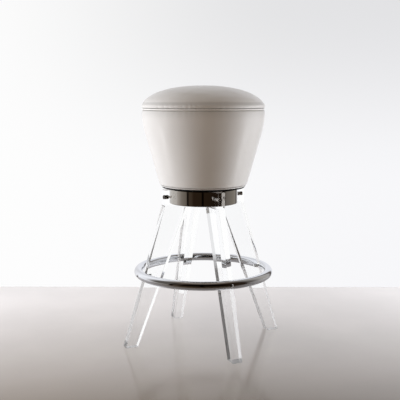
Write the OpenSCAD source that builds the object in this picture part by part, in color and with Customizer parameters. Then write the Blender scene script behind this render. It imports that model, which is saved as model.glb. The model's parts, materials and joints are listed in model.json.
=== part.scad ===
// Swivel bar stool: an upholstered drum seat that turns on a ball swivel in a polished collar,
// four clear legs cut from thick sheet, and a tube footrest ring seated in their outer edges.
// Millimetres, +Z up, origin on the floor at the middle of the four feet. The legs stand on the
// diagonals, so that the front is -Y.

/* [Base] */
// Height of the shoulder of each leg, on which the collar stands
leg_h = 417; // [380:1:460]
// Thickness of the sheet that the legs are cut from
leg_t = 29; // [24:0.5:34]
// Diameter of the circle round the outer edges of the feet
foot_spread_d = 498.8; // [440:0.2:540]
// Width of a foot, measured along the floor away from the axis
foot_w = 36; // [28:0.5:46]
// Thickness of a leg's upright tab, outside the collar
tab_t = 25.2; // [22:0.2:32]
// Distance of a leg's inner corner from the axis, below the collar
leg_throat_r = 50.5; // [44:0.5:60]
// Drop from the shoulder to the kink in a leg's outer edge
kink_drop = 5; // [2:0.5:10]
// Outer diameter of the collar band
collar_d = 203.2; // [194:0.1:212]
// Height of the collar band
collar_h = 42.5; // [39:0.5:50]
// Wall of the collar band
collar_wall = 3; // [2:0.1:4]
// Thickness of the disc welded inside the collar
collar_plate_t = 5; // [4:0.1:6]

/* [Footrest] */
// Height of the ring's centre line
ring_z = 209.5; // [170:0.5:250]
// Diameter of the ring's tube
tube_d = 25.4; // [22:0.1:30]
// Wall of the ring's tube
tube_wall = 2; // [1.6:0.1:3]
// Depth of the saddle for the ring in the outer edge of each leg
saddle_depth = 4.4; // [3:0.1:7]

/* [Seat] */
// Largest diameter of the seat, just below the seam
seat_d = 360.8; // [340:0.2:380]
// Diameter of the seat's side where it meets the plate
hem_d = 257; // [248:0.5:272]
// Height from the plate to the piping round the top
seat_h = 226.5; // [200:0.5:250]
// Drop from the top piping to the widest line of the side
widest_drop = 9.3; // [7:0.1:14]
// Radius of the side's curve below its widest line
shoulder_arc_r = 230; // [190:1:280]
// Height of the crown above the cushion's widest line
crown_h = 62; // [50:0.5:75]
// Thickness of the leather
leather_t = 1.6; // [1.2:0.1:2]
// Thickness of the foam on the side
pad_t = 8; // [6:0.5:10]
// Diameter of the piping round the top
top_piping_d = 5; // [4:0.1:6]
// Diameter of the piping round the hem
hem_piping_d = 4.8; // [4:0.1:5.4]
// Radius of the cushion's turn into the top seam
crown_turn_r = 3.5; // [3:0.1:4.5]
// Radius of the side's turn into the top seam
side_turn_r = 4; // [3:0.1:5]
// Radius of the side's turn into the hem
hem_turn_r = 5; // [4:0.1:6]

/* [Seat frame] */
// Thickness of the bent plywood drum
drum_wall_t = 5; // [4:0.5:7]
// Thickness of the plywood disc at the bottom
base_board_t = 18; // [15:0.5:21]
// Thickness of the plywood disc under the cushion
deck_board_t = 15; // [12:0.5:18]
// Drop from the widest line to the top of the deck
deck_drop = 5.7; // [4:0.1:10]
// Side of each square post between the two discs
post_w = 34; // [28:1:40]
// Distance of the posts' middle lines from the side's lower edge
post_inset = 53.5; // [48:0.5:60]
// Width of the hem strip that is stapled under the bottom disc
hem_strip_w = 18; // [14:0.5:20]
// Distance of the black plate's edge from the side's lower edge
seat_plate_inset = 6.5; // [6:0.5:9]
// Thickness of the black plate
seat_plate_t = 4; // [3:0.1:5]
// Running gap between the collar and the black plate
seat_gap = 4; // [3:0.1:6]

/* [Swivel] */
// Thickness of each swivel plate
swivel_t = 4; // [3.5:0.1:4.5]
// Length cut off each corner of a swivel plate
swivel_corner = 12; // [8:0.5:14]
// Gap between the two swivel plates
swivel_gap = 4.6; // [4.4:0.1:5]
// Distance of the screws in a swivel plate from its edges
swivel_edge = 12; // [11:0.5:14]
// Distance of those screws from the leg bolts' heads inside the collar
swivel_inset = 17.3; // [16:0.1:22]
// Diameter of a bearing ball
ball_d = 6.35; // [6:0.05:6.6]
// Distance of the circle that the balls run on from the edges of the swivel plates
race_inset = 5; // [4.5:0.1:8]
// Number of balls
ball_count = 24; // [12:4:32]
// Thickness of the ball cage
cage_t = 1.5; // [1.2:0.1:2]
// Width of the ball cage
cage_w = 11; // [10:0.5:12]
// Diameter of the pivot pin
pivot_d = 12; // [10:0.5:14]
// Width across the flats of the pivot pin's head and nut
pivot_hex_w = 19; // [17:0.5:21]
// Height of the pivot pin's head
pivot_head_h = 7.5; // [6:0.1:8]
// Height of the pivot pin's nut
pivot_nut_h = 10; // [8:0.5:12]
// Diameter of the slip washer under the collar's disc
pivot_washer_d = 28; // [24:0.5:32]
// Thickness of the slip washer
pivot_washer_t = 2; // [1.5:0.1:2.5]

/* [Fasteners] */
// Diameter of the machine screws
screw_d = 6; // [5:0.5:6]
// Diameter of a cap screw's head
cap_head_d = 10; // [9.5:0.1:10.5]
// Height of a cap screw's head
cap_head_h = 6; // [5:0.1:6.5]
// Diameter of a flat washer
washer_d = 12.5; // [11.5:0.1:13]
// Thickness of a flat washer
washer_t = 1.6; // [1:0.1:1.8]
// Diameter of the sleeve nut in a leg's tab
sleeve_d = 12; // [10:0.1:13]
// Length of the sleeve nut
sleeve_len = 15; // [12:0.5:17]
// Width across the flats of the sleeve nut's socket
sleeve_socket_w = 6; // [5:0.1:7]
// Depth of the sleeve nut's socket
sleeve_socket_depth = 5; // [3:0.5:6]
// Diameter of a footrest screw's domed head
dome_head_d = 10.5; // [9.5:0.1:12]
// Height of a footrest screw's domed head
dome_head_h = 3.3; // [2.5:0.1:4]
// Width across the flats of a footrest screw's socket
dome_socket_w = 4; // [3:0.1:5]
// Diameter of the threaded insert in a leg
insert_d = 9; // [8:0.1:10]
// Length of the threaded insert
insert_len = 15; // [12:0.5:18]
// Diameter of a countersunk machine screw's head
sunk_head_d = 12; // [11:0.1:12.5]
// Height of a countersunk machine screw's head
sunk_head_h = 3.3; // [3:0.1:3.5]
// Diameter of a tee nut's barrel
tee_barrel_d = 8; // [7.5:0.1:9]
// Length of a tee nut's barrel
tee_barrel_len = 9; // [7:0.5:11]
// Diameter of a tee nut's flange
tee_flange_d = 19; // [16:0.5:20]
// Thickness of a tee nut's flange
tee_flange_t = 1.5; // [1.2:0.1:2]
// Width across the flats of a hexagon bolt
hex_w = 10; // [9:0.1:10.5]
// Height of a hexagon bolt's head
hex_head_h = 4; // [3.5:0.1:4.5]
// Diameter of a wood screw
wood_screw_d = 4; // [3.5:0.1:4.5]
// Diameter of a wood screw's countersunk head
wood_head_d = 8; // [7:0.1:8.5]
// Height of a wood screw's countersunk head
wood_head_h = 2.4; // [2:0.1:2.8]
// Length of the wood screws in the black plate
plate_screw_len = 16; // [12:0.5:18]
// Length of the wood screws in the posts
post_screw_len = 45; // [35:1:55]
// Distance of the wood screws in the black plate from the hem strip
plate_screw_inset = 12; // [8:0.5:16]
// Number of wood screws in the black plate
plate_screw_count = 6; // [4:1:8]

/* [Fits] */
// Clearance round a screw in a plate's hole
hole_clear = 0.3; // [0.2:0.05:0.6]
// Gap between a curved seat and what sits in it
seat_clear = 0.2; // [0.1:0.05:0.4]
// Gap between the layers of the seat
layer_gap = 0.3; // [0.2:0.05:0.5]
// Radial clearance of the pivot pin where it turns
pivot_clear = 0.05; // [0.02:0.01:0.1]
// Gap between a ball and each race
ball_clear = 0.05; // [0.02:0.01:0.1]
// Gap between a ball and its hole in the cage
cage_clear = 0.15; // [0.1:0.05:0.3]
// Axial gap under the turning washer
washer_clear = 0.3; // [0.2:0.05:0.5]
// Gap between the leg bolts' washers and the disc inside the collar
bolt_clear = 1.4; // [0.5:0.1:3]

/* [Hidden] */

// Facets that a curve is drawn with on screen
$fn = 96;
// How far a cut runs past the faces that it opens
over = 1;
// Steps along the crown, along the side's curve and round a small turn
crown_steps = 18;
arc_steps = 8;
turn_steps = 5;
// Angle at which a turned edge of leather ends, past the widest line
turn_end = 80;
// Angle of the first leg, and from each leg to the next
leg_angle = 45;
quarter = 90;
// Number of legs, of posts and of screws in a swivel plate
four = 4;
// Flats of a hexagon
six = 6;

// Radii
collar_r = collar_d / 2;
collar_in_r = collar_r - collar_wall;
foot_out_r = foot_spread_d / 2;
foot_in_r = foot_out_r - foot_w;
tab_out_r = collar_r + tab_t;
tube_r = tube_d / 2;
seat_r = seat_d / 2;
top_piping_r = top_piping_d / 2;
hem_piping_r = hem_piping_d / 2;
ball_r = ball_d / 2;
washer_r = washer_d / 2;
seat_plate_r = hem_d / 2 - seat_plate_inset;
post_r = hem_d / 2 - post_inset;

// Heights of the base
kink_z = leg_h - kink_drop;
collar_top = leg_h + collar_h;
// Heights of the swivel, downward from the black plate
seat_plate_z = collar_top + seat_gap;
upper_plate_z = seat_plate_z - swivel_t;
lower_plate_top = upper_plate_z - swivel_gap;
lower_plate_z = lower_plate_top - swivel_t;
collar_plate_z = lower_plate_z - collar_plate_t;
ball_z = lower_plate_top + swivel_gap / 2;
leg_bolt_z = collar_plate_z - bolt_clear - washer_r;
// Heights of the seat
seat_z = seat_plate_z + seat_plate_t;
board_z = seat_z + leather_t;
base_board_top = seat_z + base_board_t;
top_piping_z = seat_z + seat_h;
widest_z = top_piping_z - widest_drop;
deck_top = widest_z - deck_drop;
deck_z = deck_top - deck_board_t;
crown_z = top_piping_z + top_piping_r + crown_turn_r;

// Radius of a leg's outer edge at a height, and the ring that is seated in it
edge_slope = (foot_out_r - tab_out_r) / kink_z;
function outer_edge_r(z) = foot_out_r - edge_slope * z;
ring_in_r = outer_edge_r(ring_z) - saddle_depth;
ring_r = ring_in_r + tube_r;
ring_out_r = ring_r + tube_r;
// A domed head stands on a flat spot, cut as deep as the tube's wall falls away below it
dome_r = dome_head_d / 2;
spot_depth = tube_r - sqrt(tube_r * tube_r - dome_r * dome_r) + seat_clear / 4;
dome_seat_r = ring_out_r - spot_depth;
// The dome is a slice of a ball that passes through the head's rim and its top
dome_ball_r = (dome_r * dome_r + dome_head_h * dome_head_h) / (2 * dome_head_h);
insert_out_r = ring_in_r - seat_clear;
insert_in_r = insert_out_r - insert_len;

// Side of the seat: an arc that is upright at the widest line, and its tangent down to the hem
arc_centre = [seat_r - shoulder_arc_r, widest_z];
hem_point = [hem_d / 2, seat_z];
hem_reach = hem_point - arc_centre;
side_angle = atan2(hem_reach[1], hem_reach[0]) + acos(shoulder_arc_r / norm(hem_reach));
function normal(a) = [cos(a), sin(a)];
function arc_point(a, inset) = arc_centre + (shoulder_arc_r - inset) * normal(a);
function arc_run(inset, a0, a1) = [
    for (k = [0:arc_steps]) arc_point(a0 + (a1 - a0) * k / arc_steps, inset)
];
function side_r(z, inset) =
    let (t = arc_point(side_angle, inset), lift = z - arc_centre[1], r = shoulder_arc_r - inset)
    z > t[1] ? arc_centre[0] + sqrt(r * r - lift * lift) : t[0] - (z - t[1]) * tan(side_angle);
function angle_at(z, inset) = asin((z - arc_centre[1]) / (shoulder_arc_r - inset));
function turn(c, r, a0, a1) = [
    for (k = [0:turn_steps]) c + r * normal(a0 + (a1 - a0) * k / turn_steps)
];
function flip(list) = [for (k = [len(list) - 1:-1:0]) list[k]];

// Layers of the side, counted inward from the face of the leather
pad_inset = leather_t + layer_gap;
wall_inset = pad_inset + pad_t + layer_gap;
board_inset = wall_inset + drum_wall_t + layer_gap;

// Turns of the leather into the hem and into the top seam
hem_turn_z = board_z + hem_piping_d + hem_turn_r / 2;
hem_turn_c = [side_r(hem_turn_z, 0), hem_turn_z] - hem_turn_r * normal(side_angle);
side_turn_z = top_piping_z - top_piping_r - side_turn_r - layer_gap;
side_turn_c = [side_r(side_turn_z, 0) - side_turn_r, side_turn_z];
crown_turn_c = [seat_r - crown_turn_r, crown_z];
side_top_angle = angle_at(side_turn_z, 0);
hem_lip = hem_turn_c + hem_turn_r * normal(-turn_end);
hem_piping_z = hem_lip[1] - hem_piping_r - layer_gap / 2;
hem_piping_c = [hem_lip[0] - hem_piping_r, hem_piping_z];
top_piping_c = [seat_r - top_piping_r, top_piping_z];
hem_strip_out_r = hem_piping_c[0] - hem_piping_r - layer_gap;
hem_strip_r = hem_strip_out_r - hem_strip_w;
plate_screw_r = hem_strip_r - plate_screw_inset;

// A flat washer inside the curved band touches it at its two ends
washer_seat_r = sqrt(collar_in_r * collar_in_r - washer_r * washer_r);
leg_head_seat_r = washer_seat_r - washer_t;
leg_head_in_r = leg_head_seat_r - cap_head_h;

// Swivel plates, as large as the leg bolts' heads leave room for
swivel_screw_r = leg_head_in_r - swivel_inset;
swivel_half = swivel_screw_r / sqrt(2) + swivel_edge;
race_r = swivel_half - race_inset;

// Screws
seat_bolt_len = swivel_t + seat_plate_t + base_board_t - over;
sleeve_in_r = tab_out_r - sleeve_len;
leg_bolt_tip_r = tab_out_r - sleeve_socket_depth - over;
footrest_tip_r = insert_in_r + over;
pivot_tip_z = collar_plate_z - washer_clear - pivot_washer_t - pivot_nut_h - over;

// Colours
clear_sheet = [0.86, 0.91, 0.93, 0.35];
dark_nickel = [0.42, 0.40, 0.38];
bright_chrome = [0.80, 0.81, 0.83];
zinc = [0.66, 0.66, 0.64];
black_paint = [0.06, 0.06, 0.06];
pale_leather = [0.78, 0.75, 0.71];
plywood = [0.78, 0.65, 0.46];
foam = [0.93, 0.88, 0.70];
brass_yellow = [0.80, 0.64, 0.32];
nylon = [0.90, 0.89, 0.84];

module on_legs() {
    for (k = [0:four - 1]) rotate([0, 0, leg_angle + k * quarter]) children();
}

module on_axes() {
    for (k = [0:four - 1]) rotate([0, 0, k * quarter]) children();
}

module revolve(outline) {
    rotate_extrude() polygon(outline);
}

// A disc or rod on the axis, from one height to another
module disc(z0, z1, r) {
    translate([0, 0, z0]) cylinder(h = z1 - z0, r = r);
}

// A flat ring on the axis
module washer(z0, z1, r_out, r_in) {
    difference() {
        disc(z0, z1, r_out);
        disc(z0 - over, z1 + over, r_in);
    }
}

// A hexagon on the axis, by its width across the flats
module hexagon(z0, z1, width) {
    translate([0, 0, z0]) cylinder(h = z1 - z0, r = width / sqrt(3), $fn = six);
}

// Lays what stands on the axis along the leg instead, at a height
module outward(z) {
    translate([0, 0, z]) rotate([0, quarter, 0]) children();
}

// A countersunk screw that points up, with its head's face at a height
module sunk_screw(z, len, d, head_d, head_h) {
    translate([0, 0, z]) cylinder(h = head_h, d1 = head_d, d2 = d);
    disc(z, z + len, d / 2);
}

// The hole for it, through plates of one total thickness
module sunk_hole(z, depth, d, head_d, head_h) {
    translate([0, 0, z]) cylinder(h = head_h, d1 = head_d, d2 = d);
    disc(z - over, z + depth, d / 2);
}

// A leg's outline: foot, sloping outer edge, upright tab, shoulder and sloping inner edge
module leg_blank() {
    rotate([quarter, 0, 0]) linear_extrude(height = leg_t, center = true) polygon([
        [foot_in_r, 0],
        [foot_out_r, 0],
        [tab_out_r, kink_z],
        [tab_out_r, collar_top],
        [collar_in_r, collar_top],
        [collar_in_r, leg_h],
        [leg_throat_r, leg_h]
    ]);
}

module leg(number) {
    color(clear_sheet) rotate([0, 0, leg_angle + number * quarter]) difference() {
        leg_blank();
        disc(leg_h, collar_top + over, collar_r + seat_clear);
        rotate_extrude() translate([ring_r, ring_z]) circle(r = tube_r + seat_clear);
        outward(leg_bolt_z) disc(collar_in_r, tab_out_r + over, screw_d / 2 + hole_clear);
        outward(leg_bolt_z) disc(sleeve_in_r, tab_out_r + over, sleeve_d / 2);
        outward(ring_z) disc(insert_in_r, ring_r, insert_d / 2);
    }
}

module leg_back_right() {
    leg(0);
}

module leg_back_left() {
    leg(1);
}

module leg_front_left() {
    leg(2);
}

module leg_front_right() {
    leg(3);
}

// Band that the tabs are bolted to, standing on the four shoulders
module collar_band() {
    color(dark_nickel) difference() {
        washer(leg_h, collar_top, collar_r, collar_in_r);
        on_legs() outward(leg_bolt_z)
            disc(collar_in_r - collar_wall, collar_r + over, screw_d / 2 + hole_clear);
    }
}

// Disc welded inside the band, which carries the swivel
module collar_plate() {
    color(zinc) difference() {
        washer(collar_plate_z, lower_plate_z, collar_in_r, pivot_d / 2 + hole_clear);
        on_legs() translate([swivel_screw_r, 0, 0])
            disc(collar_plate_z - over, lower_plate_z + over, screw_d / 2 + hole_clear);
    }
}

// Cap screws from inside the collar, into the sleeve nuts
module leg_bolts() {
    color(zinc) on_legs() outward(leg_bolt_z) difference() {
        union() {
            disc(leg_head_in_r, leg_head_seat_r, cap_head_d / 2);
            disc(leg_head_seat_r, leg_bolt_tip_r, screw_d / 2);
        }
        hexagon(leg_head_in_r - over, leg_head_in_r + cap_head_h / 2, cap_head_d / 2);
    }
}

module leg_washers() {
    color(zinc) on_legs() outward(leg_bolt_z)
        washer(leg_head_seat_r, washer_seat_r, washer_r, screw_d / 2 + hole_clear);
}

// Sleeve nuts let into the outer faces of the tabs
module leg_sleeve_nuts() {
    color(dark_nickel) on_legs() outward(leg_bolt_z) difference() {
        disc(sleeve_in_r, tab_out_r, sleeve_d / 2);
        disc(sleeve_in_r - over, leg_bolt_tip_r, screw_d / 2);
        hexagon(tab_out_r - sleeve_socket_depth, tab_out_r + over, sleeve_socket_w);
    }
}

// Tube bent to a ring, drilled at each leg, with a flat spot under each screw's head
module footrest_ring() {
    color(bright_chrome) difference() {
        rotate_extrude() translate([ring_r, ring_z]) difference() {
            circle(r = tube_r);
            circle(r = tube_r - tube_wall);
        }
        on_legs() outward(ring_z) {
            disc(ring_in_r - over, ring_out_r + over, screw_d / 2 + hole_clear);
            disc(dome_seat_r, ring_out_r + over, dome_r + hole_clear);
        }
    }
}

// Domed screws through the tube into the inserts
module footrest_screws() {
    color(bright_chrome) on_legs() outward(ring_z) difference() {
        union() {
            disc(footrest_tip_r, dome_seat_r + dome_head_h / 3, screw_d / 2);
            intersection() {
                disc(dome_seat_r, dome_seat_r + dome_head_h, dome_r);
                translate([0, 0, dome_seat_r + dome_head_h - dome_ball_r]) sphere(r = dome_ball_r);
            }
        }
        hexagon(dome_seat_r + dome_head_h / 3, dome_seat_r + dome_head_h + over, dome_socket_w);
    }
}

module footrest_inserts() {
    color(zinc) on_legs() outward(ring_z) difference() {
        disc(insert_in_r, insert_out_r, insert_d / 2);
        disc(footrest_tip_r, insert_out_r + over, screw_d / 2);
    }
}

// A square swivel plate with its corners cut off
module swivel_blank(z) {
    cut = swivel_half - swivel_corner;
    translate([0, 0, z]) linear_extrude(height = swivel_t) polygon([
        [cut, -swivel_half], [swivel_half, -cut], [swivel_half, cut], [cut, swivel_half],
        [-cut, swivel_half], [-swivel_half, cut], [-swivel_half, -cut], [-cut, -swivel_half]
    ]);
}

// The ring-shaped groove that the balls run in, seen from the gap between the plates
module race(side) {
    groove_r = ball_r + 2 * ball_clear;
    rotate_extrude() translate([race_r, ball_z + side * ball_clear]) circle(r = groove_r);
}

module swivel_lower_plate() {
    color(zinc) difference() {
        swivel_blank(lower_plate_z);
        race(1);
        disc(lower_plate_z - over, lower_plate_top + over, pivot_d / 2 + pivot_clear);
        on_legs() translate([swivel_screw_r, 0, 0])
            disc(lower_plate_z - over, lower_plate_top + over, screw_d / 2);
    }
}

// Hexagon bolts from below, through the collar's disc into the lower plate
module swivel_bolts() {
    seat = collar_plate_z - washer_t;
    color(zinc) on_legs() translate([swivel_screw_r, 0, 0]) {
        hexagon(seat - hex_head_h, seat, hex_w);
        disc(seat, lower_plate_top, screw_d / 2);
    }
}

module swivel_washers() {
    color(zinc) on_legs() translate([swivel_screw_r, 0, 0])
        washer(collar_plate_z - washer_t, collar_plate_z, washer_r, screw_d / 2 + hole_clear);
}

module bearing_balls() {
    color(bright_chrome) for (k = [0:ball_count - 1])
        rotate([0, 0, k * 360 / ball_count]) translate([race_r, 0, ball_z]) sphere(r = ball_r);
}

module ball_cage() {
    color(brass_yellow) difference() {
        washer(ball_z - cage_t / 2, ball_z + cage_t / 2, race_r + cage_w / 2, race_r - cage_w / 2);
        for (k = [0:ball_count - 1])
            rotate([0, 0, k * 360 / ball_count]) translate([race_r, 0, 0])
                disc(ball_z - cage_t, ball_z + cage_t, ball_r + cage_clear);
    }
}

module swivel_upper_plate() {
    color(zinc) difference() {
        swivel_blank(upper_plate_z);
        race(-1);
        disc(upper_plate_z - over, seat_plate_z + over, pivot_d / 2);
        on_legs() translate([swivel_screw_r, 0, 0])
            sunk_hole(upper_plate_z, swivel_t + over, screw_d, sunk_head_d, sunk_head_h);
    }
}

// Pin that holds the two swivel plates together and turns with the upper one
module pivot_pin() {
    color(zinc) {
        hexagon(seat_plate_z, seat_plate_z + pivot_head_h, pivot_hex_w);
        disc(pivot_tip_z, seat_plate_z, pivot_d / 2);
    }
}

module pivot_washer() {
    top = collar_plate_z - washer_clear;
    color(nylon) washer(top - pivot_washer_t, top, pivot_washer_d / 2, pivot_d / 2);
}

module pivot_nut() {
    top = collar_plate_z - washer_clear - pivot_washer_t;
    color(zinc) difference() {
        hexagon(top - pivot_nut_h, top, pivot_hex_w);
        disc(top - pivot_nut_h - over, top + over, pivot_d / 2);
    }
}

// Countersunk screws that hold the swivel and the black plate to the tee nuts
module seat_bolts() {
    color(zinc) on_legs() translate([swivel_screw_r, 0, 0])
        sunk_screw(upper_plate_z, seat_bolt_len, screw_d, sunk_head_d, sunk_head_h);
}

module tee_nuts() {
    color(zinc) on_legs() translate([swivel_screw_r, 0, 0]) difference() {
        union() {
            disc(base_board_top - tee_barrel_len, base_board_top, tee_barrel_d / 2);
            disc(base_board_top, base_board_top + tee_flange_t, tee_flange_d / 2);
        }
        disc(
            base_board_top - tee_barrel_len - over, base_board_top + tee_flange_t + over, screw_d / 2
        );
    }
}

module on_plate_screws() {
    for (k = [0:plate_screw_count - 1])
        rotate([0, 0, (k + 1 / 2) * 360 / plate_screw_count]) translate([plate_screw_r, 0, 0])
            children();
}

// Black steel disc under the seat
module seat_plate() {
    color(black_paint) difference() {
        washer(seat_plate_z, seat_z, seat_plate_r, pivot_hex_w / sqrt(3) + over);
        on_legs() translate([swivel_screw_r, 0, 0])
            disc(seat_plate_z - over, seat_z + over, screw_d / 2 + hole_clear);
        on_plate_screws()
            sunk_hole(seat_plate_z, seat_plate_t + over, wood_screw_d, wood_head_d, wood_head_h);
    }
}

module plate_screws() {
    color(zinc) on_plate_screws()
        sunk_screw(seat_plate_z, plate_screw_len, wood_screw_d, wood_head_d, wood_head_h);
}

// Bottom disc of the seat's frame, rebated below for the hem strip
module base_board() {
    head_top = seat_plate_z + pivot_head_h;
    color(plywood) difference() {
        revolve([
            [0, seat_z],
            [hem_strip_r - layer_gap, seat_z],
            [hem_strip_r - layer_gap, board_z],
            [side_r(board_z, board_inset), board_z],
            [side_r(base_board_top, board_inset), base_board_top],
            [0, base_board_top]
        ]);
        disc(seat_z - over, head_top + over, pivot_hex_w / sqrt(3) + over);
        on_legs() translate([swivel_screw_r, 0, 0]) {
            disc(seat_z - over, base_board_top, screw_d / 2);
            disc(base_board_top - tee_barrel_len, base_board_top + over, tee_barrel_d / 2);
        }
        on_plate_screws()
            disc(seat_z - over, seat_plate_z + plate_screw_len, wood_screw_d / 2);
        on_axes() translate([post_r, 0, 0])
            sunk_hole(seat_z, base_board_t + over, wood_screw_d, wood_head_d, wood_head_h);
    }
}

module base_screws() {
    color(zinc) on_axes() translate([post_r, 0, 0])
        sunk_screw(seat_z, post_screw_len, wood_screw_d, wood_head_d, wood_head_h);
}

// Posts between the two discs, with a pilot hole at each end
module seat_posts() {
    pilot = post_screw_len - base_board_t;
    color(plywood) on_axes() translate([post_r, 0, 0]) difference() {
        translate([-post_w / 2, -post_w / 2, base_board_top])
            cube([post_w, post_w, deck_z - base_board_top]);
        disc(base_board_top - over, base_board_top + pilot, wood_screw_d / 2);
        disc(deck_top - post_screw_len, deck_z + over, wood_screw_d / 2);
    }
}

module deck_board() {
    color(plywood) difference() {
        revolve([
            [0, deck_z],
            [side_r(deck_z, board_inset), deck_z],
            [side_r(deck_top, board_inset), deck_top],
            [0, deck_top]
        ]);
        on_axes() translate([post_r, 0, 0]) deck_screw_hole();
    }
}

module deck_screw_hole() {
    translate([0, 0, deck_top]) mirror([0, 0, 1])
        sunk_hole(0, deck_board_t + over, wood_screw_d, wood_head_d, wood_head_h);
}

module deck_screws() {
    color(zinc) on_axes() translate([post_r, 0, deck_top]) mirror([0, 0, 1])
        sunk_screw(0, post_screw_len, wood_screw_d, wood_head_d, wood_head_h);
}

// Bent plywood round both discs
module drum_wall() {
    outer_top = angle_at(deck_top, wall_inset);
    inner_inset = wall_inset + drum_wall_t;
    inner_top = angle_at(deck_top, inner_inset);
    color(plywood) revolve(concat(
        [[side_r(board_z, wall_inset), board_z]],
        arc_run(wall_inset, side_angle, outer_top),
        arc_run(inner_inset, inner_top, side_angle),
        [[side_r(board_z, inner_inset), board_z]]
    ));
}

// Foam layer that softens the side
module side_padding() {
    foot = hem_turn_c[1];
    head = side_turn_c[1];
    inner_inset = pad_inset + pad_t;
    color(foam) revolve(concat(
        [[side_r(foot, pad_inset), foot]],
        arc_run(pad_inset, side_angle, angle_at(head, pad_inset)),
        arc_run(inner_inset, angle_at(head, inner_inset), side_angle),
        [[side_r(foot, inner_inset), foot]]
    ));
}

// Leather round the side, turned in at the hem and at the top seam
module side_cover() {
    color(pale_leather) revolve(concat(
        turn(hem_turn_c, hem_turn_r, -turn_end, side_angle),
        arc_run(0, side_angle, side_top_angle),
        turn(side_turn_c, side_turn_r, 0, turn_end),
        turn(side_turn_c, side_turn_r - leather_t, turn_end, 0),
        arc_run(leather_t, side_top_angle, side_angle),
        turn(hem_turn_c, hem_turn_r - leather_t, side_angle, -turn_end)
    ));
}

// Flat strip of leather stapled under the bottom disc
module hem_strip() {
    color(pale_leather) washer(seat_z, board_z, hem_strip_out_r, hem_strip_r);
}

module piping(centre, r) {
    color(pale_leather) rotate_extrude() translate(centre) circle(r = r);
}

module hem_piping() {
    piping(hem_piping_c, hem_piping_r);
}

module top_piping() {
    piping(top_piping_c, top_piping_r);
}

// Half of the crown's outline, drawn in by an inset, from the axis to the turn at the seam
function crown_run(inset) = [
    for (k = [0:crown_steps]) let (a = quarter * (1 - k / crown_steps))
        [(seat_r - inset) * cos(a), crown_z + (crown_h - inset) * sin(a)]
];

// Foam of the cushion: crowned above, its lower part let down inside the padding
module cushion_foam() {
    head = side_turn_c[1];
    neck_r = top_piping_c[0] - top_piping_r - layer_gap;
    inset = leather_t + layer_gap;
    step_r = side_r(deck_top, wall_inset) - layer_gap;
    color(foam) revolve(concat(
        [[0, deck_top + layer_gap]],
        crown_run(inset),
        turn(crown_turn_c, crown_turn_r - inset, 0, -turn_end),
        [
            [neck_r, crown_turn_c[1] - crown_turn_r + inset],
            [neck_r, head + layer_gap],
            [step_r, head + layer_gap],
            [step_r, deck_top + layer_gap]
        ]
    ));
}

// Leather over the crown, turned in at the seam
module top_cover() {
    color(pale_leather) revolve(concat(
        crown_run(0),
        turn(crown_turn_c, crown_turn_r, 0, -turn_end),
        turn(crown_turn_c, crown_turn_r - leather_t, -turn_end, 0),
        flip(crown_run(leather_t))
    ));
}

leg_front_left();
leg_front_right();
leg_back_right();
leg_back_left();
collar_band();
collar_plate();
leg_bolts();
leg_washers();
leg_sleeve_nuts();
footrest_ring();
footrest_screws();
footrest_inserts();
swivel_lower_plate();
swivel_bolts();
swivel_washers();
bearing_balls();
ball_cage();
swivel_upper_plate();
pivot_pin();
pivot_washer();
pivot_nut();
seat_bolts();
tee_nuts();
seat_plate();
plate_screws();
base_board();
base_screws();
seat_posts();
deck_board();
deck_screws();
drum_wall();
side_padding();
side_cover();
hem_strip();
hem_piping();
cushion_foam();
top_cover();
top_piping();
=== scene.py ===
# %% [markdown]
# # A swivel bar stool, dressed over its own construction
# The stool is a drum seat in pale leather that turns above a polished nickel collar. Four legs cut
# from clear sheet carry the collar, and a chrome tube ring lies in a saddle in each leg. The
# construction is already there as a fixed frame, so this lesson adds the looks: the leather, the
# clear sheet, the metals and the light. Every length is in metres, and +Z is up.

# %% Load the frame
import json
import math
import random

import bmesh
import bpy
from mathutils import Matrix, Vector, noise
from mathutils.bvhtree import BVHTree

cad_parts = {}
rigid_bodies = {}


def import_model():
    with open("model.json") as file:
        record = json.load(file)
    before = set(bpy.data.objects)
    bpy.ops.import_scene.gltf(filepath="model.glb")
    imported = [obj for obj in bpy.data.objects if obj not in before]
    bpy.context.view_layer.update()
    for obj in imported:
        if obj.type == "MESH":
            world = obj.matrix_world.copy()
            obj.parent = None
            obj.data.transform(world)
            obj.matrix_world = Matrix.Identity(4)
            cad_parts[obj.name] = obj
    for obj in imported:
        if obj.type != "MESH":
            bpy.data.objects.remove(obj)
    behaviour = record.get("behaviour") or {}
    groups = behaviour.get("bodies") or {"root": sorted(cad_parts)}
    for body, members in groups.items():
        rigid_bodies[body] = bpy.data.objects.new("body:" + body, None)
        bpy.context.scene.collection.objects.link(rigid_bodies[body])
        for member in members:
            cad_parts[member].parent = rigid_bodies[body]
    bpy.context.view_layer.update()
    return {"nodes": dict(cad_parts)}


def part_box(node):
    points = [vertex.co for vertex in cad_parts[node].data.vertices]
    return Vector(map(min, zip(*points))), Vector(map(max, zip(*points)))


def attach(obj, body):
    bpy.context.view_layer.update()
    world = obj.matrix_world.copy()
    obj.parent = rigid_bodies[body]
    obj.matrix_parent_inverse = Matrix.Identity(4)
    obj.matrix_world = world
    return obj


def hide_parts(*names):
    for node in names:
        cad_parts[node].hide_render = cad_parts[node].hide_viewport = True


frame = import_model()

mm = 0.001
tau = math.tau
UP = Vector((0, 0, 1))

# %% [markdown]
# ## Sizes that the frame gives
# A dressed piece has to lie exactly where the bare one lies. So each radius and height that the
# frame already holds is read from the box of its node, and only the small sizes that no box shows,
# such as the radius of a turned edge, are written here.

# %% Radii and heights of the seat, the collar and the ring
low_crown, high_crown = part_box("top_cover")
low_side, high_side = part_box("side_cover")
low_bead, high_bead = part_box("top_piping")
low_hem, high_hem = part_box("hem_piping")
low_plate, high_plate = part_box("seat_plate")
low_collar, high_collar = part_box("collar_band")
low_ring, high_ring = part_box("footrest_ring")

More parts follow.
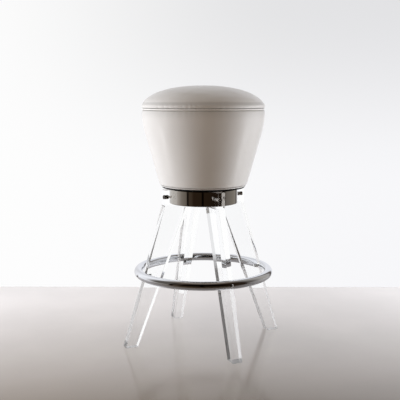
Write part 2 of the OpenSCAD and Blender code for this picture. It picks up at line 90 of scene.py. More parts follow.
seat_r = high_crown.x
crown_top = high_crown.z
bead_r = (high_bead.z - low_bead.z) / 2
bead_z = (high_bead.z + low_bead.z) / 2
hem_bead_r = (high_hem.z - low_hem.z) / 2
hem_bead_z = (high_hem.z + low_hem.z) / 2
seat_z = high_plate.z
plate_r = high_plate.x
collar_r = high_collar.x
leg_h = low_collar.z
collar_top = high_collar.z
tube_r = (high_ring.z - low_ring.z) / 2
ring_z = (high_ring.z + low_ring.z) / 2
ring_r = high_ring.x - tube_r
print(f"seat {2 * seat_r:.3f} m across, {crown_top:.3f} m high; collar {2 * collar_r:.4f} m")

# %% [markdown]
# ## The camera
# The photograph looks along the stool's own diagonal, a little from the right of its front and
# almost level. A long lens keeps the four feet close to a square. The axis of the stool stands a
# few pixels right of the middle, which a small turn of the camera gives without any lens shift.

# %% Place the camera
VIEW_AZIMUTH = math.radians(22.6)
VIEW_PITCH = math.radians(7.82)
AXIS_OFFSET = math.radians(0.257)
CAMERA_REACH = 2.2157
CAMERA_HEIGHT = 0.728
LENS = 67.3
toward_camera = Vector((math.sin(VIEW_AZIMUTH), -math.cos(VIEW_AZIMUTH), 0))
to_the_right = Vector((math.cos(VIEW_AZIMUTH), math.sin(VIEW_AZIMUTH), 0))

lens_data = bpy.data.cameras.new("camera")
lens_data.lens = LENS
camera = bpy.data.objects.new("camera", lens_data)
camera.location = toward_camera * CAMERA_REACH + UP * CAMERA_HEIGHT
camera.rotation_euler = (math.pi / 2 - VIEW_PITCH, 0, VIEW_AZIMUTH + AXIS_OFFSET)
bpy.context.scene.collection.objects.link(camera)
bpy.context.scene.camera = camera
bpy.context.scene.view_settings.view_transform = "Standard"
bpy.context.scene.cycles.max_bounces = 24
bpy.context.scene.cycles.glossy_bounces = 16
bpy.context.scene.cycles.transmission_bounces = 24
bpy.context.scene.cycles.caustics_refractive = False
print("camera at", [round(x, 3) for x in camera.location])

# %% [markdown]
# ## Shader helpers
# Each material below is a small graph, and most lines of such a graph say the same thing: make a
# node, set a few of its fields and wire a few of its sockets. One helper does that. Its keyword
# names are the socket names with an underscore for each space, and a socket given as a value
# becomes a link. The other helpers make the few kinds of node that come up again and again, in
# the same tree as the sockets that they are given.

# %% Nodes by name
def feed(source, socket):
    """Wires a socket, or sets it to a plain value."""
    if isinstance(source, bpy.types.NodeSocket):
        socket.id_data.links.new(source, socket)
    else:
        socket.default_value = source


def wire(node, **feeds):
    """Feeds inputs of a node by name."""
    for name, source in feeds.items():
        feed(source, node.inputs[name.replace("_", " ")])
    return node


def plug(node, *sources):
    """Feeds the first inputs of a node in their order."""
    for source, socket in zip(sources, node.inputs):
        feed(source, socket)
    return node.outputs


def put(tree, kind, setup=None, **feeds):
    """Adds a shader node, sets its fields from setup and feeds its inputs."""
    made = tree.nodes.new("ShaderNode" + kind)
    for field, value in (setup or {}).items():
        setattr(made, field, value)
    return wire(made, **feeds)


print("wiring helpers ready")

# %% Values
def tree_of(*values):
    """The tree that the first socket among some values is in."""
    return next(v.id_data for v in values if isinstance(v, bpy.types.NodeSocket))


def reckon(operation, *values):
    """A Math node: the operation on one, two or three values or sockets."""
    return plug(put(tree_of(*values), "Math", {"operation": operation}), *values)[0]


def reckon_vector(operation, *values):
    """The outputs of a Vector Math node, which are Vector and Value."""
    return plug(put(tree_of(*values), "VectorMath", {"operation": operation}), *values)


def times(first, *others):
    """The product of values or sockets."""
    for other in others:
        first = reckon("MULTIPLY", first, other)
    return first


def most(first, *others):
    """The greatest of values or sockets."""
    for other in others:
        first = reckon("MAXIMUM", first, other)
    return first


def rest_of(share):
    """What is left of one when a share is taken."""
    return reckon("SUBTRACT", 1.0, share)


def ramp(factor, low, high, to_low=0.0, to_high=1.0):
    """A smooth step from one value to another while the factor goes from low to high."""
    return put(
        tree_of(factor), "MapRange", {"interpolation_type": "SMOOTHSTEP"}, Value=factor,
        From_Min=low, From_Max=high, To_Min=to_low, To_Max=to_high,
    ).outputs["Result"]


def along(vector, way):
    """How far a vector goes in a fixed direction."""
    return reckon_vector("DOT_PRODUCT", vector, way)["Value"]


def height_of(vector):
    """How far a vector goes upward."""
    return put(tree_of(vector), "SeparateXYZ", Vector=vector).outputs["Z"]


def cloudy(place, scale, detail):
    """Soft noise between 0 and 1."""
    return put(tree_of(place), "TexNoise", Vector=place, Scale=scale, Detail=detail).outputs["Fac"]


print("value helpers ready")

# %% Colours
def rgb(red, green, blue):
    """A colour as the shader sockets take it."""
    return (red, green, blue, 1.0)


def blend(factor, first, second, mode="MIX"):
    """Mixes two colours, each a socket or a tuple."""
    made = put(tree_of(factor, first, second), "Mix", {"data_type": "RGBA", "blend_type": mode})
    for number, source in ((0, factor), (6, first), (7, second)):
        feed(source, made.inputs[number])
    return made.outputs[2]


def shaded(colour, shade):
    """A colour made darker or lighter by a value."""
    return blend(1.0, colour, shade, "MULTIPLY")


print("colour helpers ready")

# %% [markdown]
# ## Light from a white studio with a dark end
# Polished metal and clear sheet have no look of their own: they show the room. Here the wall behind
# the stool and the wall on its left are white, the right one is dimmer, and the end where the
# camera stands is dark. The collar and the ring turn that into pale, grey and nearly black bands.
# A colour ramp over the compass angle of each ray paints such a room without building it.
# Higher up, the room is dimmer beside the camera and nearly black behind it, under a warm ceiling.
# Only the soft light that falls on leather doesn't meet that dimming.

# %% Paint the room round the compass
ROOM = (
    (-180, (0.95, 0.95, 0.98)),
    (-160, (0.80, 0.79, 0.80)),
    (-128, (1.14, 1.14, 1.15)),
    (-108, (0.96, 0.95, 0.96)),
    (-92, (0.70, 0.67, 0.65)),
    (-78, (0.42, 0.39, 0.36)),
    (-58, (0.26, 0.23, 0.20)),
    (-56, (0.012, 0.008, 0.006)),
    (-52, (0.012, 0.008, 0.006)),
    (-48, (0.100, 0.075, 0.055)),
    (-40, (0.090, 0.065, 0.045)),
    (-33, (0.046, 0.028, 0.017)),
    (-6, (0.042, 0.027, 0.016)),
    (-5, (0.004, 0.002, 0.001)),
    (1, (0.004, 0.002, 0.001)),
    (2, (0.038, 0.024, 0.014)),
    (74, (0.022, 0.013, 0.008)),
    (83, (0.28, 0.26, 0.24)),
    (87, (0.31, 0.295, 0.28)),
    (120, (0.43, 0.40, 0.36)),
    (137, (0.46, 0.44, 0.42)),
    (143, (0.13, 0.11, 0.10)),
    (149, (0.13, 0.11, 0.10)),
    (156, (0.90, 0.90, 0.93)),
)

world = bpy.data.worlds.new("studio")
world.use_nodes = True
bpy.context.scene.world = world
sky = world.node_tree
ray = put(sky, "TexCoord").outputs["Generated"]
turned = put(
    sky, "VectorRotate", {"rotation_type": "Z_AXIS"}, Vector=ray, Angle=math.pi / 2 - VIEW_AZIMUTH
).outputs[0]
compass = put(sky, "TexGradient", {"gradient_type": "RADIAL"}, Vector=turned).outputs["Fac"]
walls = put(sky, "ValToRGB", Fac=compass)
stops = walls.color_ramp.elements
while len(stops) < len(ROOM):
    stops.new(1.0)
for stop, (angle, colour) in zip(stops, ROOM):
    stop.position = (angle + 180) / 360
    stop.color = rgb(*colour)
print("room painted with", len(ROOM), "tones")

# %% Dim the upper room
UPPER_LIFT = (-0.06, 0.08)
UPPER_TONE = (0.115, 0.10, 0.085)
BESIDE_CAMERA = (-0.35, 0.15)
BEHIND_CAMERA = (0.45, 0.80)
BLACKNESS = 0.92
CEILING = (0.20, 0.165, 0.135)
CEILING_LIFT = (0.77, 0.96)

lift = height_of(ray)
ahead = along(ray, toward_camera)
across = along(ray, to_the_right)
path = put(sky, "LightPath").outputs
above = times(ramp(lift, *UPPER_LIFT), rest_of(path["Is Diffuse Ray"]))
beside = times(above, ramp(ahead, *BESIDE_CAMERA))
in_front = times(above, ramp(ahead, *BEHIND_CAMERA, 0.0, BLACKNESS))
dimmed = blend(beside, walls.outputs["Color"], rgb(*UPPER_TONE), "DARKEN")
dimmed = blend(in_front, dimmed, rgb(0.0, 0.0, 0.0))
room = blend(ramp(lift, *CEILING_LIFT), dimmed, rgb(*CEILING))
print("upper room dimmed")

# %% [markdown]
# Rays that come straight from the camera, or straight through a clear leg, see a plain white wall
# instead, with a faint shade in its right corner. So every view keeps a white background, whichever
# way the camera stands. A ray that was turned inside a leg sees that white only where it leaves
# upward, sideways or straight back at the camera, and the dark room in between. That draws the
# dark line down the nearest leg.

# %% White for the rays that look through
WALL_LEFT = (0.985, 0.985, 0.985)
WALL_RIGHT = (0.93, 0.93, 0.95)
WALL_TURN = (-0.3, 0.3)
CORNER_SHADE = 0.18
CORNER_ACROSS = (-0.35, 0.12)
CORNER_LIFT = (-0.12, 0.13)
SHEET_GAIN = 0.06
GLEAM_LIFT = (0.435, 0.462)
GLEAM_BACK = (0.78, 0.90)
GLEAM_ASIDE = (0.30, 0.50)
SIDE_GLEAM = 0.7
SHEET_GLEAM = 0.92

wall = blend(ramp(across, *WALL_TURN), rgb(*WALL_LEFT), rgb(*WALL_RIGHT))
corner = times(ramp(across, *CORNER_ACROSS), ramp(lift, *CORNER_LIFT))
corner = reckon("MULTIPLY_ADD", corner, -CORNER_SHADE, 1.0)
gain = reckon("MULTIPLY_ADD", path["Is Transmission Ray"], SHEET_GAIN, 1.0)
wall = shaded(wall, times(corner, gain))
mirrored = reckon("GREATER_THAN", path["Glossy Depth"], 0.5)
aside = ramp(ahead, *GLEAM_ASIDE, SIDE_GLEAM, 0.0)
gleam = most(ramp(lift, *GLEAM_LIFT), ramp(ahead, *GLEAM_BACK), aside)
gleam = times(gleam, SHEET_GLEAM)
clarity = reckon("MULTIPLY_ADD", mirrored, reckon("SUBTRACT", gleam, 1.0), 1.0)
through = times(path["Is Transmission Ray"], clarity)
seen = most(path["Is Camera Ray"], through)
wire(sky.nodes["Background"], Color=blend(seen, room, wall))
print("wall tones:", WALL_LEFT, WALL_RIGHT)

# %% [markdown]
# ## Four softboxes
# The side of the seat is brightest at its edges, which says that the light comes from both sides.
# Two large area lamps do that, a small one over the camera warms the front, and a weak one hangs
# above. None of them shows in metal or in clear sheet.

# %% Hang the softboxes
LAMP_SIDE = 1.4
LAMPS = (
    ("left_softbox", -86, 2.2, 0.55, 63, (0.86, 0.91, 1.0)),
    ("right_softbox", 98, 2.2, 0.55, 60, (0.86, 0.91, 1.0)),
    ("top_softbox", 0, 0.7, 2.5, 5.5, (1.0, 0.97, 0.94)),
    ("front_fill", 0, 2.2, 0.55, 10.5, (1.0, 0.84, 0.71)),
)
AIM = Vector((0, 0, 0.55))


def hang_softbox(name, angle, reach, height, power, colour):
    """A square area lamp at an angle from the camera's direction, turned to the stool."""
    data = bpy.data.lights.new(name, "AREA")
    data.energy = power
    data.size = LAMP_SIDE
    data.color = colour
    lamp = bpy.data.objects.new(name, data)
    way = Matrix.Rotation(math.radians(angle), 3, "Z") @ toward_camera
    lamp.location = way * reach + UP * height
    lamp.rotation_euler = (AIM - lamp.location).to_track_quat("-Z", "Y").to_euler()
    lamp.visible_glossy = False
    lamp.visible_transmission = False
    bpy.context.scene.collection.objects.link(lamp)
    return lamp


for lamp_values in LAMPS:
    hang_softbox(*lamp_values)
print("softboxes:", len(LAMPS))

# %% [markdown]
# ## The floor
# The floor is one pale disc, a little glossy, so that it mirrors the legs faintly. It lies a hair
# below the feet, because clear sheet that touches another face loses the bright line there. It
# needs two helpers that the pieces will use again: one makes an object of a bmesh, and the other
# starts a material with the object coordinates that its patterns read. Those lie still on a piece
# when the seat turns.

# %% Lay the floor
FLOOR_R = 1.6
FLOOR_DROP = 0.2 * mm
FLOOR_INDEX = 1.5
CLOUDS = (0.3, 0.7)
CLOUD_GLOSS = (0.12, 0.18)


def new_object(name, bm):
    """Puts a bmesh into the scene as an object."""
    mesh = bpy.data.meshes.new(name)
    bm.to_mesh(mesh)
    bm.free()
    made = bpy.data.objects.new(name, mesh)
    bpy.context.scene.collection.objects.link(made)
    return made


def principled(material):
    """The main shader of a material."""
    return material.node_tree.nodes["Principled BSDF"]


def start_material(name):
    """A new material, its main shader and its object coordinates."""
    made = bpy.data.materials.new(name)
    made.use_nodes = True
    return made, principled(made), put(made.node_tree, "TexCoord").outputs["Object"]


floor_bm = bmesh.new()
bmesh.ops.create_circle(floor_bm, cap_ends=True, segments=128, radius=FLOOR_R)
bmesh.ops.translate(floor_bm, verts=floor_bm.verts, vec=(0, 0, -FLOOR_DROP))
floor = new_object("floor", floor_bm)

floor_mat, shader, place = start_material("pale_floor")
floor.data.materials.append(floor_mat)
clouds = cloudy(place, 3.0, 4.0)
wire(shader, IOR=FLOOR_INDEX, Roughness=ramp(clouds, *CLOUDS, *CLOUD_GLOSS))
print("floor radius", FLOOR_R)

# %% [markdown]
# The floor answers three kinds of ray in different ways, so its material tells them apart first.
# Straight rays come from the camera, bare or through a clear leg. Turned rays were mirrored inside
# a leg, and metal rays come from the collar or the ring. The steepness of a camera ray also says
# how far from the camera it meets the floor, whichever way the camera stands.

# %% Tell the floor's rays apart
floor_path = put(floor_mat.node_tree, "LightPath").outputs
looked = floor_path["Is Camera Ray"]
in_glass = floor_path["Is Transmission Ray"]
mirrored = reckon("GREATER_THAN", floor_path["Glossy Depth"], 0.5)
turned_in = times(mirrored, in_glass)
straight = most(reckon("SUBTRACT", in_glass, turned_in), looked)
in_metal = most(reckon("SUBTRACT", floor_path["Is Glossy Ray"], in_glass), 0.0)

steepness = rest_of(put(floor_mat.node_tree, "LayerWeight", Blend=0.5).outputs["Facing"])
tangent = reckon("SUBTRACT", reckon("POWER", steepness, -2.0), 1.0)
distance = times(reckon("SQRT", tangent), CAMERA_HEIGHT)
behind = along(place, -toward_camera)
sideways = along(place, to_the_right)
print("floor rays told apart")

# %% [markdown]
# The photographed floor is brown near the camera and rises to a pale warm grey at the wall. That
# is painted light: a falloff from a shaded near colour to a lit far one. Camera rays take that tone
# from their distance, so every view has it, and all other rays take it from the place that they
# meet. Its left side gets painted light and its right side painted shade, most of all near the
# camera. Mirrored rays also find painted shade in the metals and toward the dark end of the room,
# and rays that were turned inside a leg find painted light.

# %% Colour the floor
FLOOR_NEAR = -0.55
WALL_BEHIND = 0.61
FLOOR_RISE = 0.80
FLOOR_SHADED_NEAR_COLOUR = (0.132, 0.090, 0.046)
FLOOR_LIT_FAR_COLOUR = (0.96, 0.91, 0.875)
STEEP = (1.2, 1.8)
STEEP_REACH = 0.62
ASIDE = (-0.5, 0.5)
NEAR_SIDE_LIGHT_AND_SHADE = (1.08, 0.62)
FAR_SIDE_LIGHT_AND_SHADE = (1.02, 0.88)
CLOUD_TONE = (0.96, 1.04)
FRONT_SHADE_SPAN = (-1.25, FLOOR_NEAR)
FRONT_SHADE_TONE = 0.3
METAL_SHADE_TONE = 0.6
FLOOR_LIT_IN_SHEET = (0.93, 0.92, 0.91)
SHEET_LIGHT_SHARE = 0.7


def reach_of(far):
    """How far a place is on the way from the near tone to the wall's foot, from 0 to 1."""
    tree = floor_mat.node_tree
    return put(tree, "MapRange", Value=far, From_Min=FLOOR_NEAR, From_Max=WALL_BEHIND).outputs["Result"]


seen_reach = reach_of(reckon("SUBTRACT", distance, CAMERA_REACH))
seen_reach = most(seen_reach, ramp(distance, *STEEP, STEEP_REACH, 0.0))
reach = reckon("POWER", blend(looked, reach_of(behind), seen_reach), FLOOR_RISE)
# Painted light and shade: a shaded near colour and a lit far one, lighter on the left and darker on the
# right.
shaded_near_tone = shaded(rgb(*FLOOR_SHADED_NEAR_COLOUR), ramp(sideways, *ASIDE, *NEAR_SIDE_LIGHT_AND_SHADE))
lit_far_tone = shaded(rgb(*FLOOR_LIT_FAR_COLOUR), ramp(sideways, *ASIDE, *FAR_SIDE_LIGHT_AND_SHADE))
# Painted shade toward the camera's end and in the metals, and painted light for rays turned inside a leg.
painted_front_shade = most(ramp(behind, *FRONT_SHADE_SPAN, FRONT_SHADE_TONE, 1.0), straight)
painted_metal_shade = reckon("MULTIPLY_ADD", in_metal, METAL_SHADE_TONE - 1, 1.0)
shade = times(ramp(clouds, *CLOUDS, *CLOUD_TONE), painted_front_shade, painted_metal_shade)
painted_floor_light = shaded(blend(reach, shaded_near_tone, lit_far_tone), shade)
painted_sheet_light = times(turned_in, SHEET_LIGHT_SHARE)
wire(shader, Base_Color=blend(painted_sheet_light, painted_floor_light, rgb(*FLOOR_LIT_IN_SHEET)))
print("floor tones:", FLOOR_SHADED_NEAR_COLOUR, FLOOR_LIT_FAR_COLOUR)

# %% [markdown]
# The floor ends in three ways. Behind the stool it meets the wall along a straight line, except in
# a look from close above. It fades toward its rim, and for straight rays far from the camera it
# fades into the white. Past each of these ends a ray goes on through the disc to the wall's white.

# %% End the floor
FLOOR_FADE_FROM = 1.05
WALL_SOFT = 0.004
WALL_SHOWN = (2.45, 2.75)
HORIZON = (2.95, 3.55)
HORIZON_HELD = (0.6, 0.9)


def see_past(shader, share, colour=(1.0, 1.0, 1.0, 1.0)):
    """Lets a share of the rays go straight on, as if the surface weren't there."""
    tree = shader.id_data
    open_way = put(tree, "BsdfTransparent", Color=colour).outputs[0]
    mixed = plug(put(tree, "MixShader"), share, shader.outputs[0], open_way)[0]
    wire(tree.nodes["Material Output"], Surface=mixed)


past_wall = ramp(behind, WALL_BEHIND - WALL_SOFT, WALL_BEHIND + WALL_SOFT)
near_by = times(straight, rest_of(ramp(distance, *WALL_SHOWN)))
past_wall = times(past_wall, rest_of(near_by))
away = reckon_vector("LENGTH", place)["Value"]
past_rim = ramp(away, FLOOR_FADE_FROM, FLOOR_R)
held = ramp(away, *HORIZON_HELD)
horizon = times(ramp(distance, *HORIZON), held, straight)
looked_at = most(looked, floor_path["Is Glossy Ray"], in_glass)
see_past(shader, times(most(past_wall, past_rim, horizon), looked_at))
print("floor meets the wall", WALL_BEHIND, "m behind the stool")

# %% [markdown]
# ## Effects that several finishes share
# Three effects turn up in many of the materials: a soft mottle that changes the gloss from place to
# place, fine scratches, and the pebbled grain of leather. Each is a node group with named inputs
# and outputs, built once here and placed with its own values later. A group hands out only values,
# and the shader itself stays in the material.

# %% A way to start a node group
def start_group(name, inputs, outputs):
    """An empty shader group with named sockets, and its two ends."""
    group = bpy.data.node_groups.new(name, "ShaderNodeTree")
    for label, kind, value in inputs:
        socket = group.interface.new_socket(label, in_out="INPUT", socket_type=kind)
        if value is not None:
            socket.default_value = value
    for label in outputs:
        group.interface.new_socket(label, in_out="OUTPUT", socket_type="NodeSocketFloat")
    return group, group.nodes.new("NodeGroupInput"), group.nodes.new("NodeGroupOutput")


def use_group(group, **feeds):
    """The outputs of a group that is placed in a material, with its inputs fed by name."""
    return put(tree_of(*feeds.values()), "Group", {"node_tree": group}, **feeds).outputs


print("group helpers ready")

# %% [markdown]
# The mottle is one noise, mapped between two values that the material chooses. The scratches are a
# noise that is drawn out long in one direction and cut off near its top, so that only thin
# separate lines are left.

# %% Mottle and scratches
SCRATCH_STRETCH = (1.0, 14.0, 1.0)
SCRATCH_CUT = (0.68, 0.76)

mottle, ends_in, ends_out = start_group(
    "mottle",
    (("Place", "NodeSocketVector", None), ("Scale", "NodeSocketFloat", 20.0),
     ("Low", "NodeSocketFloat", 0.2), ("High", "NodeSocketFloat", 0.3)),
    ("Value",),
)
asked = ends_in.outputs
spread = put(
    mottle, "MapRange", Value=cloudy(asked["Place"], asked["Scale"], 4.0),
    From_Min=CLOUDS[0], From_Max=CLOUDS[1], To_Min=asked["Low"], To_Max=asked["High"],
)
wire(ends_out, Value=spread.outputs["Result"])

scratches, ends_in, ends_out = start_group(
    "scratches",
    (("Place", "NodeSocketVector", None), ("Scale", "NodeSocketFloat", 60.0)),
    ("Mask",),
)
asked = ends_in.outputs
drawn = reckon_vector("MULTIPLY", asked["Place"], SCRATCH_STRETCH)["Vector"]
wire(ends_out, Mask=ramp(cloudy(drawn, asked["Scale"], 2.0), *SCRATCH_CUT))
print("groups:", mottle.name, scratches.name)

# %% [markdown]
# Leather grain is a field of small rounded pebbles with creases between them. Voronoi cells give
# the pebbles, and a finer noise keeps any two from being alike. The group puts out the height for
# a bump and a tone for the colour, because creases are also a little darker.

# %% Leather grain
GRAIN_WARP = (1.2 * mm, 1.2 * mm, 1.2 * mm)
GRAIN_WARP_SCALE = 260.0
PEBBLE_RISE = 0.32
CREASE_RISE = 0.12

grain, ends_in, ends_out = start_group(
    "leather_grain",
    (("Place", "NodeSocketVector", None), ("Scale", "NodeSocketFloat", 800.0)),
    ("Height", "Tone"),
)
asked = ends_in.outputs
warp = put(grain, "TexNoise", Vector=asked["Place"], Scale=GRAIN_WARP_SCALE, Detail=2.0)
bent = reckon_vector("MULTIPLY_ADD", warp.outputs["Color"], GRAIN_WARP, asked["Place"])["Vector"]
cells = put(
    grain, "TexVoronoi", {"feature": "DISTANCE_TO_EDGE"}, Vector=bent, Scale=asked["Scale"]
).outputs["Distance"]
wire(ends_out, Height=ramp(cells, 0.0, PEBBLE_RISE), Tone=ramp(cells, 0.0, CREASE_RISE))
print("group:", grain.name)

# %% [markdown]
# ## Small helpers for the finishes
# Most finishes take a colour a little darker or lighter, a gloss that wanders and a fine relief.

# %% Tone, gloss and relief
def scaled(colour, share):
    """A colour made darker or lighter."""
    return rgb(*[share * c for c in colour])


def wander(place, scale, low, high):
    """A gloss that changes between two values from place to place."""
    return use_group(mottle, Place=place, Scale=scale, Low=low, High=high)["Value"]


def roughened(shader, height, strength, depth):
    """Wires a height to the shader's normal through a Bump node."""
    bump = put(shader.id_data, "Bump", Height=height, Strength=strength, Distance=depth)
    wire(shader, Normal=bump.outputs["Normal"])


print("material helpers ready")

# %% [markdown]
# ## Leather
# The cover is a smooth pale leather between white and warm grey, with a soft sheen and a grain so
# fine that it only breaks up the highlights. Broad, faint clouds of tone keep it from looking like
# plastic. Painted shade darkens the grooves beside the two beads, the valley over the roll, a band
# under the top seam and the leather below the middle of the hem's bead, and a painted highlight
# lightens the top bead. Each painted band is given by its height, by where its tone is full and
# where it ends.

# %% Leather
LEATHER_COLOUR = (0.63, 0.60, 0.56)
UNDER_SEAM = 32 * mm
UNDER_SEAM_SHADE_TONE = 0.86
HEM_BEAD_SHADE_TONE = 0.35
PAINTED_LIGHT_BANDS = (
    ("groove over the bead", bead_z + 1.2 * bead_r, 0.4 * mm, 1.5 * mm, 0.38),
    ("groove under the bead", bead_z - 1.05 * bead_r, 0.3 * mm, 1.2 * mm, 0.82),
    ("front of the bead", bead_z, 0.5 * bead_r, bead_r, 1.3),
    ("groove over the hem's bead", hem_bead_z + 0.9 * hem_bead_r, 0.4 * mm, 1.6 * mm, 0.55),
    ("valley over the roll", bead_z + 16.5 * mm, 1.5 * mm, 7.0 * mm, 0.80),
)

leather, shader, place = start_material("pale_leather")
skin = use_group(grain, Place=place, Scale=820.0)
hide = blend(cloudy(place, 9.0, 3.0), scaled(LEATHER_COLOUR, 0.95), scaled(LEATHER_COLOUR, 1.04))
creased = blend(skin["Tone"], scaled(LEATHER_COLOUR, 0.86), hide)
high = height_of(place)
# Painted shade: the leather below the middle of the hem's bead is darkened, and so is a band up to the top
# seam.
painted_shade_under_hem = ramp(high, hem_bead_z - 0.6 * hem_bead_r, hem_bead_z, HEM_BEAD_SHADE_TONE, 1.0)
painted_shade_under_seam = ramp(high, bead_z - UNDER_SEAM, bead_z, 1.0, UNDER_SEAM_SHADE_TONE)
painted_shade_under_seam = most(painted_shade_under_seam, ramp(high, bead_z - bead_r, bead_z))
painted_seam_light = times(painted_shade_under_hem, painted_shade_under_seam)
# Each band paints shade into a groove or the valley, or a highlight on the front of the top bead.
for label, at, within, beyond, tone in PAINTED_LIGHT_BANDS:
    off = reckon("ABSOLUTE", reckon("SUBTRACT", high, at))
    painted_seam_light = times(painted_seam_light, ramp(off, within, beyond, tone, 1.0))
wire(
    shader, Base_Color=shaded(creased, painted_seam_light), Sheen_Weight=0.08, Coat_Weight=0.35,
    Roughness=wander(place, 45.0, 0.34, 0.46), Coat_Roughness=wander(place, 260.0, 0.15, 0.28),
)
roughened(shader, skin["Height"], 0.30, 0.25 * mm)
print("material:", leather.name, "with", len(PAINTED_LIGHT_BANDS), "bands of tone")

# %% [markdown]
# ## Clear sheet
# The legs are cast acrylic: it bends light by an index of 1.49 and is almost colourless. In the
# photograph the tabs beside the collar hardly bend what lies behind them, so the index falls off
# there. Handling leaves hairline marks, more of them near the floor, and the foot's face is left
# hazy as it was sawn, with a darker tint that is painted shade where it stands on the floor. A
# lamp's ray and a soft bounce of light go straight through, as they would on a bright floor,
# because bent light from so many faces would only come out as noise.

# %% Clear sheet
SHEET_INDEX = 1.49
SHEET_TINT = (0.992, 0.996, 0.995)
SCUFF_TOP = 0.10
SCUFF_HAZE = (0.05, 0.01)
SAWN_FACE = (0.05 * mm, 0.25 * mm)
SAWN_HAZE = 0.55
SOLE_SHADE_TINT = (0.50, 0.46, 0.46)
TAB_INDEX = 1.08
TAB_FADE = 6 * mm

sheet, shader, place = start_material("clear_sheet")
hairlines = use_group(scratches, Place=place, Scale=70.0)["Mask"]
high = height_of(place)
haze = times(hairlines, ramp(high, 0.0, SCUFF_TOP, *SCUFF_HAZE))
# The sole's darker tint is painted shade where the foot stands on the floor.
wire(
    shader,
    Base_Color=blend(ramp(high, *SAWN_FACE), rgb(*SOLE_SHADE_TINT), rgb(*SHEET_TINT)),
    Roughness=most(haze, ramp(high, *SAWN_FACE, SAWN_HAZE, 0.0)),
    IOR=ramp(high, leg_h - TAB_FADE, leg_h, SHEET_INDEX, TAB_INDEX),
    Transmission_Weight=1.0,
)
sheet_path = put(sheet.node_tree, "LightPath").outputs
soft_ray = most(sheet_path["Is Shadow Ray"], sheet_path["Is Diffuse Ray"])
see_past(shader, soft_ray, rgb(*SHEET_TINT))
print("material:", sheet.name)

# %% [markdown]
# ## Metals
# The collar is polished dark nickel, the ring is bright chrome, and the hidden hardware is zinc
# plated. They differ in colour, in gloss and in how much the gloss changes, so one function makes
# them all from a few numbers. Hairline scratches catch the light on the polished ones.

# %% Metals
def metal(name, colour, gloss, mottle_scale, scratch_haze, tint_share=0.97):
    """A bare metal: its gloss wanders between two values, and fine scratches add haze."""
    made, shader, place = start_material(name)
    clouds = cloudy(place, mottle_scale / 2, 3.0)
    marks = use_group(scratches, Place=place, Scale=90.0)["Mask"]
    wire(
        shader, Metallic=1.0,
        Base_Color=blend(clouds, scaled(colour, tint_share), scaled(colour, 1.02)),
        Roughness=reckon("MULTIPLY_ADD", marks, scratch_haze, wander(place, mottle_scale, *gloss)),
    )
    return made


nickel = metal("dark_nickel", (0.40, 0.375, 0.345), (0.035, 0.06), 18.0, 0.05)
chrome = metal("bright_chrome", (0.76, 0.78, 0.82), (0.02, 0.04), 24.0, 0.05)
zinc = metal("zinc_plate", (0.62, 0.62, 0.60), (0.24, 0.36), 60.0, 0.15, 0.88)
ball_steel = metal("bearing_steel", (0.70, 0.70, 0.72), (0.06, 0.10), 200.0, 0.05)
brass = metal("pressed_brass", (0.78, 0.60, 0.30), (0.22, 0.34), 80.0, 0.15, 0.82)
print("metals:", nickel.name, chrome.name, zinc.name, ball_steel.name, brass.name)

# %% [markdown]
# Three screws and nuts that show get a finish of their own. The sleeve nuts are blackened, and the
# cap screws have a pale flake coat. The photographed collar mirrors neither, so a ray that some
# mirror has turned goes straight through them. The domed screws get a painted reflection, dark in
# the middle, and a painted highlight, pale and less metallic at the rim, as a dome looks that
# mirrors the dark end of the room.

# %% Finishes for the screws that show
FLAKE_METALLIC = 0.15
DOME_HIGHLIGHT_FACING = (0.22, 0.45)
DOME_PAINTED_REFLECTION = (0.05, 0.04, 0.03)
DOME_PAINTED_HIGHLIGHT = (0.85, 0.84, 0.83)
DOME_HIGHLIGHT_METALLIC = 0.3

nut_metal = metal("blackened_nickel", (0.13, 0.11, 0.09), (0.16, 0.24), 60.0, 0.10)
zinc_flake = metal("zinc_flake_coat", (0.92, 0.92, 0.92), (0.45, 0.55), 60.0, 0.10, 0.94)
wire(principled(zinc_flake), Metallic=FLAKE_METALLIC)
for made in (nut_metal, zinc_flake):
    turns = put(made.node_tree, "LightPath").outputs["Glossy Depth"]
    see_past(principled(made), reckon("GREATER_THAN", turns, 0.5))

dome_steel = metal("domed_steel", (0.40, 0.375, 0.345), (0.08, 0.14), 60.0, 0.05)
# Painted reflection and painted highlight: dark base colour in the middle, pale and less metallic at the
# rim.
rim = ramp(put(dome_steel.node_tree, "LayerWeight", Blend=0.5).outputs["Facing"], *DOME_HIGHLIGHT_FACING)
wire(
    principled(dome_steel), Base_Color=blend(rim, rgb(*DOME_PAINTED_REFLECTION), rgb(*DOME_PAINTED_HIGHLIGHT)),
    Metallic=reckon("MULTIPLY_ADD", rim, DOME_HIGHLIGHT_METALLIC - 1, 1.0),
)
print("metals:", nut_metal.name, zinc_flake.name, dome_steel.name)

# %% [markdown]
# ## Paint, wood, foam and nylon
# The plate under the seat is powder coated in black, which has an orange peel of its own. Plywood
# shows its plies as bands across its thickness, and the posts show long grain. Foam is a field of
# small open cells. Most of these stay out of sight, and still they are finished, because the
# assembly can be taken apart.

# %% Black paint, nylon and foam
def coated(name, colour, gloss, peel_scale, peel_depth):
    """A painted, moulded or foamed surface: one colour with a fine relief of cells."""
    made, shader, place = start_material(name)
    tone = blend(cloudy(place, 14.0, 3.0), scaled(colour, 0.88), scaled(colour, 1.06))
    wire(shader, Base_Color=tone, Roughness=wander(place, 60.0, *gloss))
    peel = put(made.node_tree, "TexVoronoi", Vector=place, Scale=peel_scale).outputs["Distance"]
    roughened(shader, peel, 0.25, peel_depth)
    return made


